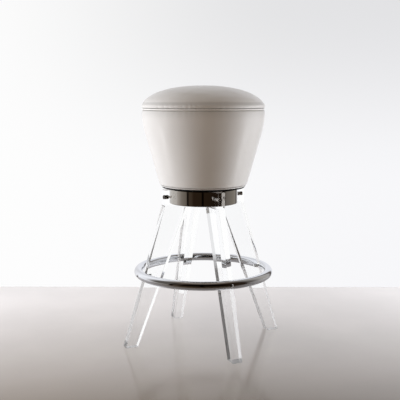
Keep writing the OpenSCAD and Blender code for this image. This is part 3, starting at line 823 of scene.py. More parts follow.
black_coat = coated("black_powder_coat", (0.004, 0.004, 0.004), (0.50, 0.60), 900.0, 0.08 * mm)
wire(principled(black_coat), Specular_IOR_Level=0.1)
nylon = coated("natural_nylon", (0.82, 0.81, 0.76), (0.38, 0.50), 600.0, 0.05 * mm)
foam = coated("cushion_foam_cells", (0.86, 0.80, 0.58), (0.80, 0.95), 520.0, 0.60 * mm)
print("materials:", black_coat.name, nylon.name, foam.name)

# %% Plywood and post wood
PLY = 1.5 * mm
GLUE = 0.12 * mm
GLUE_TONE = 0.62
PACKED = (30.0, 30.0, 30.0)
LONG_GRAIN = (90.0, 90.0, 5.0)


def timber(name, light, dark, banded):
    """Wood: plies across the thickness, or long grain up a post."""
    made, shader, place = start_material(name)
    drawn = reckon_vector("MULTIPLY", place, PACKED if banded else LONG_GRAIN)["Vector"]
    fibre = put(made.node_tree, "TexNoise", Vector=drawn, Scale=1.0, Detail=6.0, Distortion=0.6)
    fibre = fibre.outputs["Fac"]
    tint = blend(ramp(fibre, 0.35, 0.65), rgb(*dark), rgb(*light))
    if banded:
        layer = reckon("PINGPONG", height_of(place), PLY)
        tint = shaded(tint, ramp(layer, 0.0, GLUE, GLUE_TONE, 1.0))
    wire(shader, Base_Color=tint, Roughness=ramp(fibre, *CLOUDS, 0.55, 0.72))
    roughened(shader, fibre, 0.2, 0.2 * mm)
    return made


plywood = timber("birch_plywood", (0.70, 0.54, 0.35), (0.55, 0.39, 0.23), True)
post_wood = timber("beech_post", (0.74, 0.58, 0.38), (0.60, 0.42, 0.24), False)
print("materials:", plywood.name, post_wood.name)

# %% [markdown]
# ## Helpers for turned pieces
# Nearly every piece of this stool is round, so nearly every one starts as half of its outline, spun
# round the axis. A full spin welds its own ends. Where a seam needs closer columns, the turn is
# made in stretches, each with its own number of steps, and the last column is welded to the first.

# %% Spin an outline
WELD = 0.002 * mm


def spun(outline, stretches=((tau, 192),), start=0.0):
    """Turns a closed outline of (radius, height) points round the Z axis into a solid skin."""
    bm = bmesh.new()
    ring = [bm.verts.new((r, 0, z)) for r, z in outline]
    geom = ring + [bm.edges.new(pair) for pair in zip(ring, ring[1:] + ring[:1])]
    bmesh.ops.rotate(bm, verts=ring, cent=(0, 0, 0), matrix=Matrix.Rotation(start, 3, "Z"))
    for angle, steps in stretches:
        turn = bmesh.ops.spin(
            bm, geom=geom, cent=(0, 0, 0), axis=UP, angle=angle, steps=steps,
            use_merge=abs(angle - tau) < WELD,
        )
        geom = turn["geom_last"]
    bmesh.ops.remove_doubles(bm, verts=bm.verts, dist=WELD)
    bmesh.ops.dissolve_degenerate(bm, edges=bm.edges, dist=WELD)
    bmesh.ops.recalc_face_normals(bm, faces=bm.faces)
    return bm


def soften(bm, width, segments=3, above=30):
    """Rounds each edge that turns by more than an angle in degrees."""
    hard = [
        e for e in bm.edges
        if len(e.link_faces) == 2 and e.calc_face_angle(0) > math.radians(above)
    ]
    bmesh.ops.bevel(
        bm, geom=hard, offset=width, offset_type="OFFSET", affect="EDGES", segments=segments,
        profile=0.5, material=-1, clamp_overlap=True,
    )


def arc(centre, r, start, end, steps):
    """Points of an arc in the plane of radius and height, from one angle to another in degrees."""
    angles = [math.radians(start + (end - start) * k / steps) for k in range(steps + 1)]
    return [(centre[0] + r * math.cos(a), centre[1] + r * math.sin(a)) for a in angles]


def circle(centre, r, sides):
    """A round outline, such as the section of a tube."""
    return arc(centre, r, 0, 360, sides)[:-1]


def slab(in_r, out_r, low, high):
    """The outline of a flat ring or a band."""
    return [(in_r, low), (out_r, low), (out_r, high), (in_r, high)]


print("spin helpers ready")

# %% [markdown]
# ## Handing a piece over
# A finished piece is a mesh with its place already in it, so its object stays at the origin. It
# rides on a body of the frame, takes its material and hides the bare nodes that it stands for.
# Smooth shading is wanted nearly everywhere, with breaks at real edges. On hard pieces the
# large faces lead the shading, so that a rounded edge doesn't bend the reflection in a flat one.

# %% Finish a piece
def finish(name, bm, material, body, slot, *nodes, crease=32, hard=True):
    """Makes an object of a bmesh, shades it and hands it to the frame."""
    made = new_object(name, bm)
    mesh = made.data
    mesh.materials.append(material)
    mesh.shade_smooth()
    mesh.set_sharp_from_angle(angle=math.radians(crease))
    if hard:
        even = made.modifiers.new("even_normals", "WEIGHTED_NORMAL")
        even.keep_sharp = True
    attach(made, body)
    if nodes:
        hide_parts(*nodes)
    print(f"{name}: {len(mesh.polygons)} faces")
    return made


# %% [markdown]
# ## The crown of the cushion
# The cushion's outline is half an ellipse that ends in a small turn where the leather dives into
# the seam. The photograph gives its width, its height and that turn.

# %% Outline of the crown
LEATHER_T = 1.6 * mm
TURN_END = 80
CROWN_TURN_R = 3.5 * mm
CROWN_ROWS = 60
ROW_CROWDING = 1.4
crown_z = low_crown.z + CROWN_TURN_R * math.sin(math.radians(TURN_END))
crown_h = crown_top - crown_z
turn_centre = (seat_r - CROWN_TURN_R, crown_z)


def crown_outline(inset, rows):
    """The crown from the axis down to the turn at the seam, drawn in by an inset."""
    angles = [math.pi / 2 * (1 - k / rows) ** ROW_CROWDING for k in range(rows + 1)]
    return [
        ((seat_r - inset) * math.cos(a), crown_z + (crown_h - inset) * math.sin(a)) for a in angles
    ]


print(f"crown {crown_h:.4f} m high above z {crown_z:.4f}")

# %% [markdown]
# ## Leather that is stretched over foam
# A real cover isn't a perfect ellipsoid: it is pulled tight over foam and pushed out by it. Cloth
# simulation gives that. A closed cushion, a little smaller than the real one, is remeshed into even
# cells, pinned at the seam and blown up by a gentle pressure with gravity off. How far it moved
# along each ray from the middle of the cushion is then carried over to a clean spun crown, which
# keeps the crisp turn at the seam that a remesh would have lost.

# %% Blow the cushion up
SMALLER = 4.0 * mm
CELL = 6.0 * mm
PRESSURE = 4.0
PIN_TOP = 6.0 * mm
FRAMES = 20
STEP_CAP = 12.0 * mm


def blown_cushion():
    """The cushion after the simulation, as a tree that rays can be cast at."""
    rows = crown_outline(SMALLER, CROWN_ROWS)
    floor_z = crown_z - CROWN_TURN_R
    bm = spun(rows + [(seat_r - SMALLER, floor_z), (0, floor_z)], ((tau, 96),))
    body = new_object("cushion_sim", bm)
    cells = body.modifiers.new("cells", "REMESH")
    cells.mode = "VOXEL"
    cells.voxel_size = CELL
    seen_by = bpy.context.evaluated_depsgraph_get()
    body.data = bpy.data.meshes.new_from_object(body.evaluated_get(seen_by))
    body.modifiers.clear()
    rest = [v.co.copy() for v in body.data.vertices]
    pins = body.vertex_groups.new(name="pins")
    pins.add([k for k, p in enumerate(rest) if p.z < crown_z + PIN_TOP], 1.0, "ADD")
    cloth = body.modifiers.new("cloth", "CLOTH")
    cloth.settings.vertex_group_mass = "pins"
    cloth.settings.use_pressure = True
    cloth.settings.uniform_pressure_force = PRESSURE
    cloth.settings.effector_weights.gravity = 0.0
    cloth.point_cache.frame_start = 1
    cloth.point_cache.frame_end = FRAMES
    for step in range(1, FRAMES + 1):
        bpy.context.scene.frame_set(step)
    after = bpy.data.meshes.new_from_object(body.evaluated_get(bpy.context.evaluated_depsgraph_get()))
    bpy.context.scene.frame_set(1)
    points = []
    for p, vertex in zip(rest, after.vertices):
        move = vertex.co - p
        points.append(p + move * min(1.0, STEP_CAP / max(move.length, WELD)))
    faces = [tuple(f.vertices) for f in after.polygons]
    moved = max((q - p).length for p, q in zip(rest, points))
    print(f"cushion blown up: {len(points)} points, the furthest moved {moved / mm:.1f} mm")
    bpy.data.objects.remove(body)
    return BVHTree.FromPolygons(points, faces)


swollen = blown_cushion()

# %% [markdown]
# ## Puckers at the seam
# Where a flat piece of leather is sewn round a curve, its spare length gathers into short puckers
# that run up from the seam. They are uneven in place, length and depth. A seeded draw scatters
# them, and ten more stand where the photograph shows some.

# %% Scatter the puckers
PUCKERS = 46
LONGEST_PUCKER = 20 * mm
SHOWN_PUCKERS = (-44.6, -37.2, -31.6, -25.8, -18.3, -13.5, -9.3, -5.1, 3.2, 19.3)
SHOWN_SIZE = (2.6 * mm, 15 * mm, 0.75 * mm)
draw = random.Random(11)
puckers = [
    (draw.uniform(-math.pi, math.pi), draw.uniform(2.6, 4.6) * mm,
     draw.uniform(7, LONGEST_PUCKER / mm) * mm, draw.uniform(0.15, 0.55) * mm)
    for _ in range(PUCKERS)
]
puckers += [(VIEW_AZIMUTH - math.pi / 2 + math.radians(a), *SHOWN_SIZE) for a in SHOWN_PUCKERS]


def fade(value, start, end):
    """A smooth step from 1 at start to 0 at end."""
    t = min(1.0, max(0.0, (value - start) / (end - start)))
    return 1 - t * t * (3 - 2 * t)


def bell(value, width):
    """1 at zero, and smoothly down to nothing on both sides."""
    return math.exp(-((value / width) ** 2))


def turn_between(angle, at):
    """The shorter way round from one angle to another."""
    return (angle - at + math.pi) % tau - math.pi


def pucker_depth(p, height):
    """How far a point is drawn in by the puckers near it, at a distance from the seam."""
    if height > LONGEST_PUCKER:
        return 0.0
    angle = math.atan2(p.y, p.x)
    depth = 0.0
    for at, width, length, deep in puckers:
        apart = abs(turn_between(angle, at)) * seat_r
        if apart < 3 * width and height < length:
            depth += deep * bell(apart, width) * fade(height, -CROWN_TURN_R, length)
    return depth


print("puckers:", len(puckers))

# %% [markdown]
# ## The cushion
# The cover is spun as a closed skin with the leather's own thickness. Then each point takes the
# simulated swelling, fading out toward the seam, a slow wave that a hand would feel more than an
# eye would see, and the puckers.

# %% Sew the cushion
SWELL_CAP = 3.0 * mm
SWELL_FROM = 4.0 * mm
SWELL_FULL = 30.0 * mm
WAVE = 0.5 * mm
WAVE_SCALE = 14.0
FULLER = 3.2 * mm
FULLER_LEFT = 1.5 * mm
ROLL_OUT = 0.9 * mm
ROLL_AT = 4.5 * mm
VALLEY = 0.8 * mm
VALLEY_AT = 12.5 * mm
ROLL_W = 3.6 * mm
MISS_TILT = 0.001
CUSHION_COLUMNS = 560
SOFT_CREASE = 70
middle = Vector((0, 0, crown_z))


def swelling(way):
    """How far the blown cushion lies outside the plain crown, in a direction from the middle."""
    hit = swollen.ray_cast(middle, way)
    if hit[0] is None:
        hit = swollen.ray_cast(middle, (way + Vector((MISS_TILT, MISS_TILT / 2, 0))).normalized())
    plain = 1 / math.hypot(math.hypot(way.x, way.y) / seat_r, way.z / crown_h)
    return hit[3] - plain


def level(p):
    """A point with its height left out."""
    return Vector((p.x, p.y, 0))


def fullness(p, height):
    """The crown's shoulders stand a little fuller than an ellipse, and more so on the left."""
    share = min(1.0, max(0.0, height / crown_h))
    left = -level(p).dot(to_the_right) / seat_r
    return (FULLER + FULLER_LEFT * left) * 2 * share * math.sqrt(1 - share * share)


def rolled(height):
    """A soft roll of leather just above the seam, with a shallow valley over it."""
    return ROLL_OUT * bell(height - ROLL_AT, ROLL_W) - VALLEY * bell(height - VALLEY_AT, ROLL_W)


apex_swelling = 0.0 if swollen is None else swelling(UP)
print(f"swelling at the apex {apex_swelling / mm:.2f} mm")


def dressed_point(p):
    """Where a point of the plain crown goes."""
    way = (p - middle).normalized()
    height = p.z - crown_z
    loose = 1 - fade(height, SWELL_FROM, SWELL_FULL)
    out = WAVE * noise.noise(p * WAVE_SCALE) * loose + fullness(p, height) + rolled(height)
    if swollen is not None and loose > 0:
        growth = swelling(way) - apex_swelling
        out += loose * max(-SWELL_CAP, min(SWELL_CAP, growth))
    return p + way * (out - pucker_depth(p, height))


outer = crown_outline(0, CROWN_ROWS) + arc(turn_centre, CROWN_TURN_R, -8, -TURN_END, 7)
inner = arc(turn_centre, CROWN_TURN_R - LEATHER_T, -TURN_END, 0, 4)
inner += list(reversed(crown_outline(LEATHER_T, CROWN_ROWS // 2)))[1:]
cushion_bm = spun(outer + inner, ((tau, CUSHION_COLUMNS),))
for vertex in cushion_bm.verts:
    vertex.co = dressed_point(vertex.co)
cushion = finish("seat_cushion_cover", cushion_bm, leather, "seat", "leather", "top_cover",
                 crease=SOFT_CREASE, hard=False)

# %% [markdown]
# ## The side of the seat
# Below its widest line the side follows a large arc and then a straight taper down to the hem. Both
# edges of the leather turn inward, one into the top seam and one into the hem. The outline is
# worked out from the same radius and tangent as the frame's.

# %% Outline of the side
SHOULDER_ARC_R = 230 * mm
HEM_R = 128.5 * mm
WIDEST_DROP = 9.3 * mm
SIDE_TURN_R = 4.0 * mm
HEM_TURN_R = 5.0 * mm
widest_z = bead_z - WIDEST_DROP
arc_middle = Vector((seat_r - SHOULDER_ARC_R, widest_z))
hem_reach = Vector((HEM_R, seat_z)) - arc_middle
side_angle = math.atan2(hem_reach.y, hem_reach.x) + math.acos(SHOULDER_ARC_R / hem_reach.length)
end_lift = math.sin(math.radians(TURN_END))
top_turn_z = high_side.z - SIDE_TURN_R * end_lift
hem_turn_z = low_side.z + HEM_TURN_R * end_lift


def side_r(z, inset=0.0):
    """Radius of the seat's side at a height, drawn in by an inset."""
    r = SHOULDER_ARC_R - inset
    tangent_z = arc_middle.y + r * math.sin(side_angle)
    if z > tangent_z:
        return arc_middle.x + math.sqrt(r * r - (z - arc_middle.y) ** 2)
    return arc_middle.x + r * math.cos(side_angle) - (z - tangent_z) * math.tan(side_angle)


def side_outline(inset, bottom, top, rows):
    """The side from one height up to another."""
    heights = [bottom + (top - bottom) * k / rows for k in range(rows + 1)]
    return [(side_r(z, inset), z) for z in heights]


print(f"side tapers by {math.degrees(-side_angle):.1f} degrees")

# %% [markdown]
# ## One upright seam, at the back
# The side is a single band of leather that is closed by one upright seam. The photograph doesn't
# show it, so it is put where such a seam is put, at the back. It is a plain seam: a narrow groove
# with a soft shoulder on each side, gathered a little at every stitch.

# %% Wrap the side
SEAM_ANGLE = math.pi / 2
SEAM_ZONE = 26 * mm / seat_r
SEAM_W = 1.1 * mm
SEAM_DEPTH = 1.1 * mm
SHOULDER_W = 4.5 * mm
SHOULDER_H = 0.45 * mm
STITCH = 5.0 * mm
STITCH_PULL = 0.3
SIDE_WAVE = 0.45 * mm
SIDE_WAVE_SCALE = 8.0
WAVE_HELD = (70 * mm, 105 * mm)
GATHER_SHARE = 0.7
GATHER_STRETCH = 1.6
SIDE_COLUMNS = 500
SEAM_COLUMNS = 30
SIDE_ROWS = 46
INNER_ROWS = 12


def side_relief(p):
    """How far a point of the side stands out from the plain outline."""
    apart = turn_between(math.atan2(p.y, p.x), SEAM_ANGLE) * math.hypot(p.x, p.y)
    groove = bell(apart, SEAM_W)
    shoulder = bell(abs(apart) - SHOULDER_W, SHOULDER_W)
    gather = 1 - STITCH_PULL * (1 - math.cos(tau * p.z / STITCH))
    held = fade(abs(p.z - (widest_z + seat_z) / 2), *WAVE_HELD)
    wave = SIDE_WAVE * noise.noise(p * SIDE_WAVE_SCALE) * held
    gathers = GATHER_SHARE * pucker_depth(p, (high_side.z - p.z) / GATHER_STRETCH)
    return wave - SEAM_DEPTH * groove + SHOULDER_H * shoulder * gather - gathers


def set_out(bm, relief):
    """Moves each point out from the axis by what relief says."""
    for vertex in bm.verts:
        out = level(vertex.co)
        if out.length > WELD:
            vertex.co += out.normalized() * relief(vertex.co)


top_turn = (side_r(top_turn_z) - SIDE_TURN_R, top_turn_z)
hem_way = Vector((math.cos(side_angle), math.sin(side_angle)))
foot_z = hem_turn_z + HEM_TURN_R * hem_way.y
hem_turn = (side_r(foot_z) - HEM_TURN_R * hem_way.x, hem_turn_z)
lean = math.degrees(side_angle)
outside = arc(hem_turn, HEM_TURN_R, -TURN_END, lean, 7)[:-1]
outside += side_outline(0, foot_z, top_turn_z, SIDE_ROWS)
outside += arc(top_turn, SIDE_TURN_R, 8, TURN_END, 7)
inside = arc(top_turn, SIDE_TURN_R - LEATHER_T, TURN_END, 0, 5)
inside += list(reversed(side_outline(LEATHER_T, foot_z, top_turn_z, INNER_ROWS)))[1:-1]
inside += arc(hem_turn, HEM_TURN_R - LEATHER_T, lean, -TURN_END, 5)
columns = ((tau - SEAM_ZONE, SIDE_COLUMNS), (SEAM_ZONE, SEAM_COLUMNS))
side_bm = spun(outside + inside, columns, SEAM_ANGLE + SEAM_ZONE / 2)
set_out(side_bm, side_relief)
side = finish("seat_side_cover", side_bm, leather, "seat", "leather", "side_cover",
              crease=SOFT_CREASE, hard=False)

# %% [markdown]
# ## Piping
# A bead of piping fills the top seam and another one the hem. Each is a leather strip folded round
# a cord, so its section is a circle, and its two ends meet at the back, where it thins a little. The
# strip never lies quite even, which a small slow wave along the bead gives.

# %% Sew in the piping
BEAD_WAVE = 0.22 * mm
BEAD_SCALE = 60.0
JOINT_W = 3.0 * mm
JOINT_DEPTH = 0.5 * mm


def piping(name, node, r, z, thick):
    """A bead of piping round the seat, at a radius and a height."""
    bm = spun(circle((r, z), thick, 16), ((tau, 320),))
    heart = Vector((0, 0, z))
    for vertex in bm.verts:
        out = level(vertex.co).normalized()
        core = heart + out * r
        pinch = JOINT_DEPTH * bell(turn_between(math.atan2(out.y, out.x), SEAM_ANGLE) * r, JOINT_W)
        change = BEAD_WAVE * noise.noise(core * BEAD_SCALE) - pinch
        vertex.co += (vertex.co - core).normalized() * change
    return finish(name, bm, leather, "seat", "leather", node, crease=SOFT_CREASE, hard=False)


piping("cushion_piping_bead", "top_piping", high_bead.x - bead_r, bead_z, bead_r)
piping("hem_piping_bead", "hem_piping", high_hem.x - hem_bead_r, hem_bead_z, hem_bead_r)

# %% [markdown]
# ## Two narrow lamps for the leather's gloss
# The photograph shows one soft upright gleam on each side of the seat. Each is the mirror image of
# a narrow lamp that stands low beside the stool. In the collar and the ring no such lamp shows, so
# these two light the leather alone.

# %% Stand the gleam lamps
STRIP_W = 0.10
STRIP_H = 0.36
STRIPS = (("left_gleam", -85, 1.0, 0.22, 0.8), ("right_gleam", 87, 1.0, 0.22, 1.1))
leather_only = bpy.data.collections.new("leather_only")
for piece in bpy.context.scene.objects:
    if piece.data and leather.name in getattr(piece.data, "materials", {}):
        leather_only.objects.link(piece)
for name, angle, reach, height, power in STRIPS:
    strip = hang_softbox(name, angle, reach, height, power, (1.0, 1.0, 1.0))
    strip.data.shape = "RECTANGLE"
    strip.data.size = STRIP_W
    strip.data.size_y = STRIP_H
    strip.visible_glossy = True
    strip.light_linking.receiver_collection = leather_only

# %% [markdown]
# ## What the leather lies on
# Under the covers lie a crowned foam block, a foam layer on the side and, below the bottom board,
# the leather's own stapled edge. Nobody sees them until the seat is taken apart. They are spun from
# the same outlines, drawn in by the thickness of what covers them.

# %% Foam and hem strip
LAYER_GAP = 0.6 * mm
PAD_T = 8.0 * mm
HEM_STRIP_W = 18.0 * mm
STRIP_EDGE = 0.4 * mm
PAD_ROWS = 20
foam_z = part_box("cushion_foam")[0].z
pad_low, pad_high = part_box("side_padding")
deck_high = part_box("deck_board")[1]
strip_low, strip_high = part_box("hem_strip")
skin_gap = LEATHER_T + LAYER_GAP
foam_neck_r = high_bead.x - 2 * bead_r - LAYER_GAP
foam_step_z = pad_high.z + LAYER_GAP
foam_foot_r = deck_high.x - LAYER_GAP

foam_rows = crown_outline(skin_gap, CROWN_ROWS // 2)
foam_rows += arc(turn_centre, CROWN_TURN_R - skin_gap, -15, -TURN_END, 4)
foam_rows += [(foam_neck_r, crown_z - CROWN_TURN_R), (foam_neck_r, foam_step_z)]
foam_rows += [(foam_foot_r, foam_step_z), (foam_foot_r, foam_z), (0, foam_z)]
core_bm = spun(foam_rows, ((tau, 96),))
for vertex in core_bm.verts:
    if vertex.co.z > crown_z:
        vertex.co = dressed_point(vertex.co)
core = finish("cushion_foam_core", core_bm, foam, "seat", "foam", "cushion_foam", crease=50, hard=False)

pad_rows = side_outline(skin_gap, pad_low.z, pad_high.z, PAD_ROWS)
pad_rows += list(reversed(side_outline(skin_gap + PAD_T, pad_low.z, pad_high.z, PAD_ROWS)))
pad = finish("side_foam_layer", spun(pad_rows, ((tau, 128),)), foam, "seat", "foam", "side_padding",
             crease=50, hard=False)

strip_rows = slab(strip_high.x - HEM_STRIP_W, strip_high.x, strip_low.z, strip_high.z)
strip_bm = spun(strip_rows, ((tau, 128),))
soften(strip_bm, STRIP_EDGE, 2)
finish("hem_leather_strip", strip_bm, leather, "seat", "leather", "hem_strip", hard=False)

# %% [markdown]
# ## The black plate
# A thin steel disc closes the seat's underside and rests on the swivel. Its rim is the dark line
# under the hem. A cut disc has its edges broken before it is coated, so they are rounded here.

# %% Cut the black plate
PLATE_HOLE_R = 12.0 * mm
PLATE_EDGE = 0.9 * mm
plate_bm = spun(slab(PLATE_HOLE_R, plate_r, low_plate.z, high_plate.z), ((tau, 256),))
soften(plate_bm, PLATE_EDGE, 4)
finish("under_seat_plate", plate_bm, black_coat, "seat", "black_steel", "seat_plate")

# %% [markdown]
# ## The collar
# The collar is a rolled and polished band. It mirrors the room, so its wall has to be perfectly
# straight in height and finely divided round, and its two rims are rounded and bright.

# %% Roll the collar
COLLAR_WALL = 3.0 * mm
COLLAR_EDGE = 0.7 * mm
collar_in_r = collar_r - COLLAR_WALL
band_bm = spun(slab(collar_in_r, collar_r, leg_h, collar_top), ((tau, 320),))
soften(band_bm, COLLAR_EDGE, 4)
finish("polished_collar", band_bm, nickel, "base", "dark_nickel", "collar_band")

# %% [markdown]
# ## Outline of a leg
# Each leg is one fin: a flat foot, a sloping outer edge with a round saddle for the ring, an
# upright tab outside the collar, a shoulder under it and a sloping inner edge. The saddle begins
# and ends where its circle crosses the outer edge, which a quadratic gives.

# %% Draw a leg
LEG_T = 29 * mm
FOOT_W = 36 * mm
TAB_T = 25.2 * mm
KINK_DROP = 5 * mm
THROAT_R = 50.5 * mm
SEAT_CLEAR = 0.2 * mm
SADDLE_STEPS = 16
leg_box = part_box("leg_back_right")[1]
foot_out_r = (leg_box.x - LEG_T / 2 * math.sqrt(0.5)) / math.sqrt(0.5)
foot_in_r = foot_out_r - FOOT_W
tab_out_r = collar_r + TAB_T
tab_in_r = collar_r + SEAT_CLEAR
shoulder_z = leg_h - SEAT_CLEAR / 2
kink_z = leg_h - KINK_DROP
saddle_r = tube_r + SEAT_CLEAR


def saddle_points():
    """The saddle's arc, from its lower end on the outer edge up to its upper end."""
    slope = (foot_out_r - tab_out_r) / kink_z
    reach = foot_out_r - ring_r
    a = 1 + slope * slope
    b = slope * reach + ring_z
    c = reach * reach + ring_z * ring_z - saddle_r * saddle_r
    root = math.sqrt(b * b - a * c)
    ends = [((b + sign * root) / a) for sign in (-1, 1)]
    low, high = [
        math.degrees(math.atan2(z - ring_z, foot_out_r - slope * z - ring_r)) for z in ends
    ]
    return arc((ring_r, ring_z), saddle_r, low, high - 360, SADDLE_STEPS)


leg_outline = [(foot_in_r, 0), (foot_out_r, 0)]
leg_outline += saddle_points()
leg_outline += [(tab_out_r, kink_z), (tab_out_r, collar_top), (tab_in_r, collar_top)]
leg_outline += [(tab_in_r, shoulder_z), (THROAT_R, shoulder_z)]
print("leg outline:", len(leg_outline), "points, foot at radius", round(foot_out_r, 4))

# %% [markdown]
# ## Cutting and polishing a leg
# The outline becomes a face, the face is drawn out to the sheet's thickness, and the strips between
# its two sides are divided, so that the saddle can follow the ring and the tab can follow the round
# collar. The long edges get a narrow polished round. That round matters more than its size: in
# clear sheet each edge draws a bright or dark line.

# %% Cut a fin
ACROSS_CUTS = 7
PRESSED = 0.15 * mm
LEG_EDGE = 0.3 * mm


def seated(p):
    """A point of the fin, moved so that it follows the ring or the collar."""
    drop = p.z - ring_z
    if abs(math.hypot(p.x - ring_r, drop) - saddle_r) < WELD:
        far = ring_r - math.sqrt(max(0.0, saddle_r ** 2 - drop ** 2)) * (1 if p.x < ring_r else -1)
        return Vector((math.sqrt(far ** 2 - p.y ** 2), p.y, p.z))
    if abs(p.x - tab_in_r) < WELD:
        return Vector((math.sqrt((collar_r - PRESSED) ** 2 - p.y ** 2), p.y, p.z))
    return p


def fin():
    """One leg before it is bored, standing along +X."""
    bm = bmesh.new()
    rim = [bm.verts.new((r, -LEG_T / 2, z)) for r, z in leg_outline]
    grown = bmesh.ops.extrude_face_region(bm, geom=[bm.faces.new(rim)])["geom"]
    far_side = [v for v in grown if isinstance(v, bmesh.types.BMVert)]
    bmesh.ops.translate(bm, verts=far_side, vec=(0, LEG_T, 0))
    bmesh.ops.recalc_face_normals(bm, faces=bm.faces)
    across = [e for e in bm.edges if abs(e.verts[0].co.y - e.verts[1].co.y) > LEG_T / 2]
    bmesh.ops.subdivide_edges(bm, edges=across, cuts=ACROSS_CUTS)
    for vertex in bm.verts:
        vertex.co = seated(vertex.co)
    soften(bm, LEG_EDGE, 3, 24)
    return bm


trial = fin()
print("fin:", len(trial.faces), "faces")
trial.free()

# %% [markdown]
# ## Boring a leg
# The tab is bored for the cap screw and counterbored for the sleeve nut, and the saddle is bored
# for the threaded insert. Each bore is a hair wider than what goes in, because that film of air is
# what makes metal in clear sheet look silvered at its edges. The bores are cut last, with a stepped
# cutter for each, so that the polished edges stay untouched.

# %% Bore a fin
SCREW_R = 3.0 * mm
HOLE_CLEAR = 0.3 * mm
SLEEVE_R = 6.0 * mm
SLEEVE_LEN = 15 * mm
INSERT_R = 4.5 * mm
INSERT_LEN = 15 * mm
AIR_FILM = 0.12 * mm
OVERRUN = 2 * mm
nut_low, nut_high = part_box("leg_sleeve_nuts")
leg_bolt_z = (nut_low.z + nut_high.z) / 2
sleeve_in_r = tab_out_r - SLEEVE_LEN
insert_out_r = ring_r - tube_r - SEAT_CLEAR
insert_in_r = insert_out_r - INSERT_LEN


def outward(bm, height):
    """Lays what stands on the Z axis along +X instead, at a height."""
    lay = Matrix.Translation((0, 0, height)) @ Matrix.Rotation(math.pi / 2, 4, "Y")
    bmesh.ops.transform(bm, verts=bm.verts, matrix=lay)


def cutter(name, outline, height):
    """A hidden tool object, turned from an outline of (radius, distance from the stool's axis)."""
    bm = spun(outline, ((tau, 48),))
    outward(bm, height)
    return new_object(name, bm)


bolt_hole_r = SCREW_R + HOLE_CLEAR
nut_hole_r = SLEEVE_R + AIR_FILM
insert_hole_r = INSERT_R + AIR_FILM
bolt_bore = cutter("bolt_bore", [
    (0, collar_in_r), (bolt_hole_r, collar_in_r), (bolt_hole_r, sleeve_in_r),
    (nut_hole_r, sleeve_in_r), (nut_hole_r, tab_out_r + OVERRUN), (0, tab_out_r + OVERRUN),
], leg_bolt_z)
insert_bore = cutter("insert_bore", [
    (0, insert_in_r), (insert_hole_r, insert_in_r), (insert_hole_r, ring_r), (0, ring_r),
], ring_z)


def bored_fin():
    """The mesh of a leg with its bores, standing along +X."""
    blank = new_object("fin", fin())
    for tool in (bolt_bore, insert_bore):
        bore = blank.modifiers.new(tool.name, "BOOLEAN")
        bore.operation = "DIFFERENCE"
        bore.solver = "EXACT"
        bore.object = tool
    done = bpy.data.meshes.new_from_object(blank.evaluated_get(bpy.context.evaluated_depsgraph_get()))
    for tool in (blank, bolt_bore, insert_bore):
        bpy.data.objects.remove(tool)
    return done


leg_mesh = bored_fin()
print("bored fin:", len(leg_mesh.polygons), "faces")

# %% [markdown]
# ## Four legs
# The same fin is turned to each corner. The legs keep flat shading on their flats and smooth
# shading in the bores and the saddle, so only edges of more than ten degrees are marked sharp.

# %% Stand the legs
QUARTER = math.pi / 2
LEGS = ("back_right", "back_left", "front_left", "front_right")


def leg_turn(number):
    """The turn that takes the +X direction to a leg."""
    return Matrix.Rotation(QUARTER / 2 + number * QUARTER, 4, "Z")


for number, corner in enumerate(LEGS):
    leg_bm = bmesh.new()
    leg_bm.from_mesh(leg_mesh)
    bmesh.ops.transform(leg_bm, verts=leg_bm.verts, matrix=leg_turn(number))
    finish("clear_leg_" + corner, leg_bm, sheet, "base", "clear_acrylic", "leg_" + corner,
           crease=10, hard=False)

# %% [markdown]
# ## Screws, nuts and inserts
# The small hardware is turned too: each piece is an outline spun round its own axis and then laid
# along a leg. A thread is a row of ridges at the screw's pitch. A socket starts as a round pocket,
# and the points of its wall are moved onto a hexagon.

# %% Threads and sockets
SCREW_SIDES = 48
HEX_STEP = math.radians(60)


def thread(r, depth, start, end, pitch):
    """Ridges along a screw, as outline points from one end to the other."""
    count = max(1, round(abs(end - start) / pitch))
    step = (end - start) / count
    points = []
    for k in range(count):
        points += [(r - depth, start + k * step), (r, start + (k + 0.5) * step)]
    return points + [(r - depth, end)]


def hexed(bm, wall_r, flat, above):
    """Moves the points of a round pocket's wall onto a hexagon with that distance to its flats."""
    for vertex in bm.verts:
        r = math.hypot(vertex.co.x, vertex.co.y)
        if abs(r - wall_r) < WELD and vertex.co.z > above:
            angle = math.atan2(vertex.co.y, vertex.co.x) % HEX_STEP - HEX_STEP / 2
            grow = flat / math.cos(angle) / r
            vertex.co.x *= grow
            vertex.co.y *= grow


def join(whole, bm):
    """Adds one bmesh to another."""
    copy = bpy.data.meshes.new("copy")
    bm.to_mesh(copy)
    bm.free()
    whole.from_mesh(copy)
    bpy.data.meshes.remove(copy)


def on_each_leg(make, height):
    """Four copies of a small turned piece, one along each leg, in one bmesh."""
    whole = bmesh.new()
    for number in range(len(LEGS)):
        bm = make()
        outward(bm, height)
        bmesh.ops.transform(bm, verts=bm.verts, matrix=leg_turn(number))
        join(whole, bm)
    return whole


print("hardware helpers ready")

# %% [markdown]
# The sleeve nut is a dark barrel with a hexagon socket in the face that shows at the outside of the
# tab. Its side is knurled, which keeps it from turning in the bore.

# %% Sleeve nuts
SLEEVE_SOCKET_R = 3.0 * mm
SLEEVE_SOCKET_DEPTH = 5 * mm
KNURL = 0.25 * mm
CHAMFER = 0.6 * mm


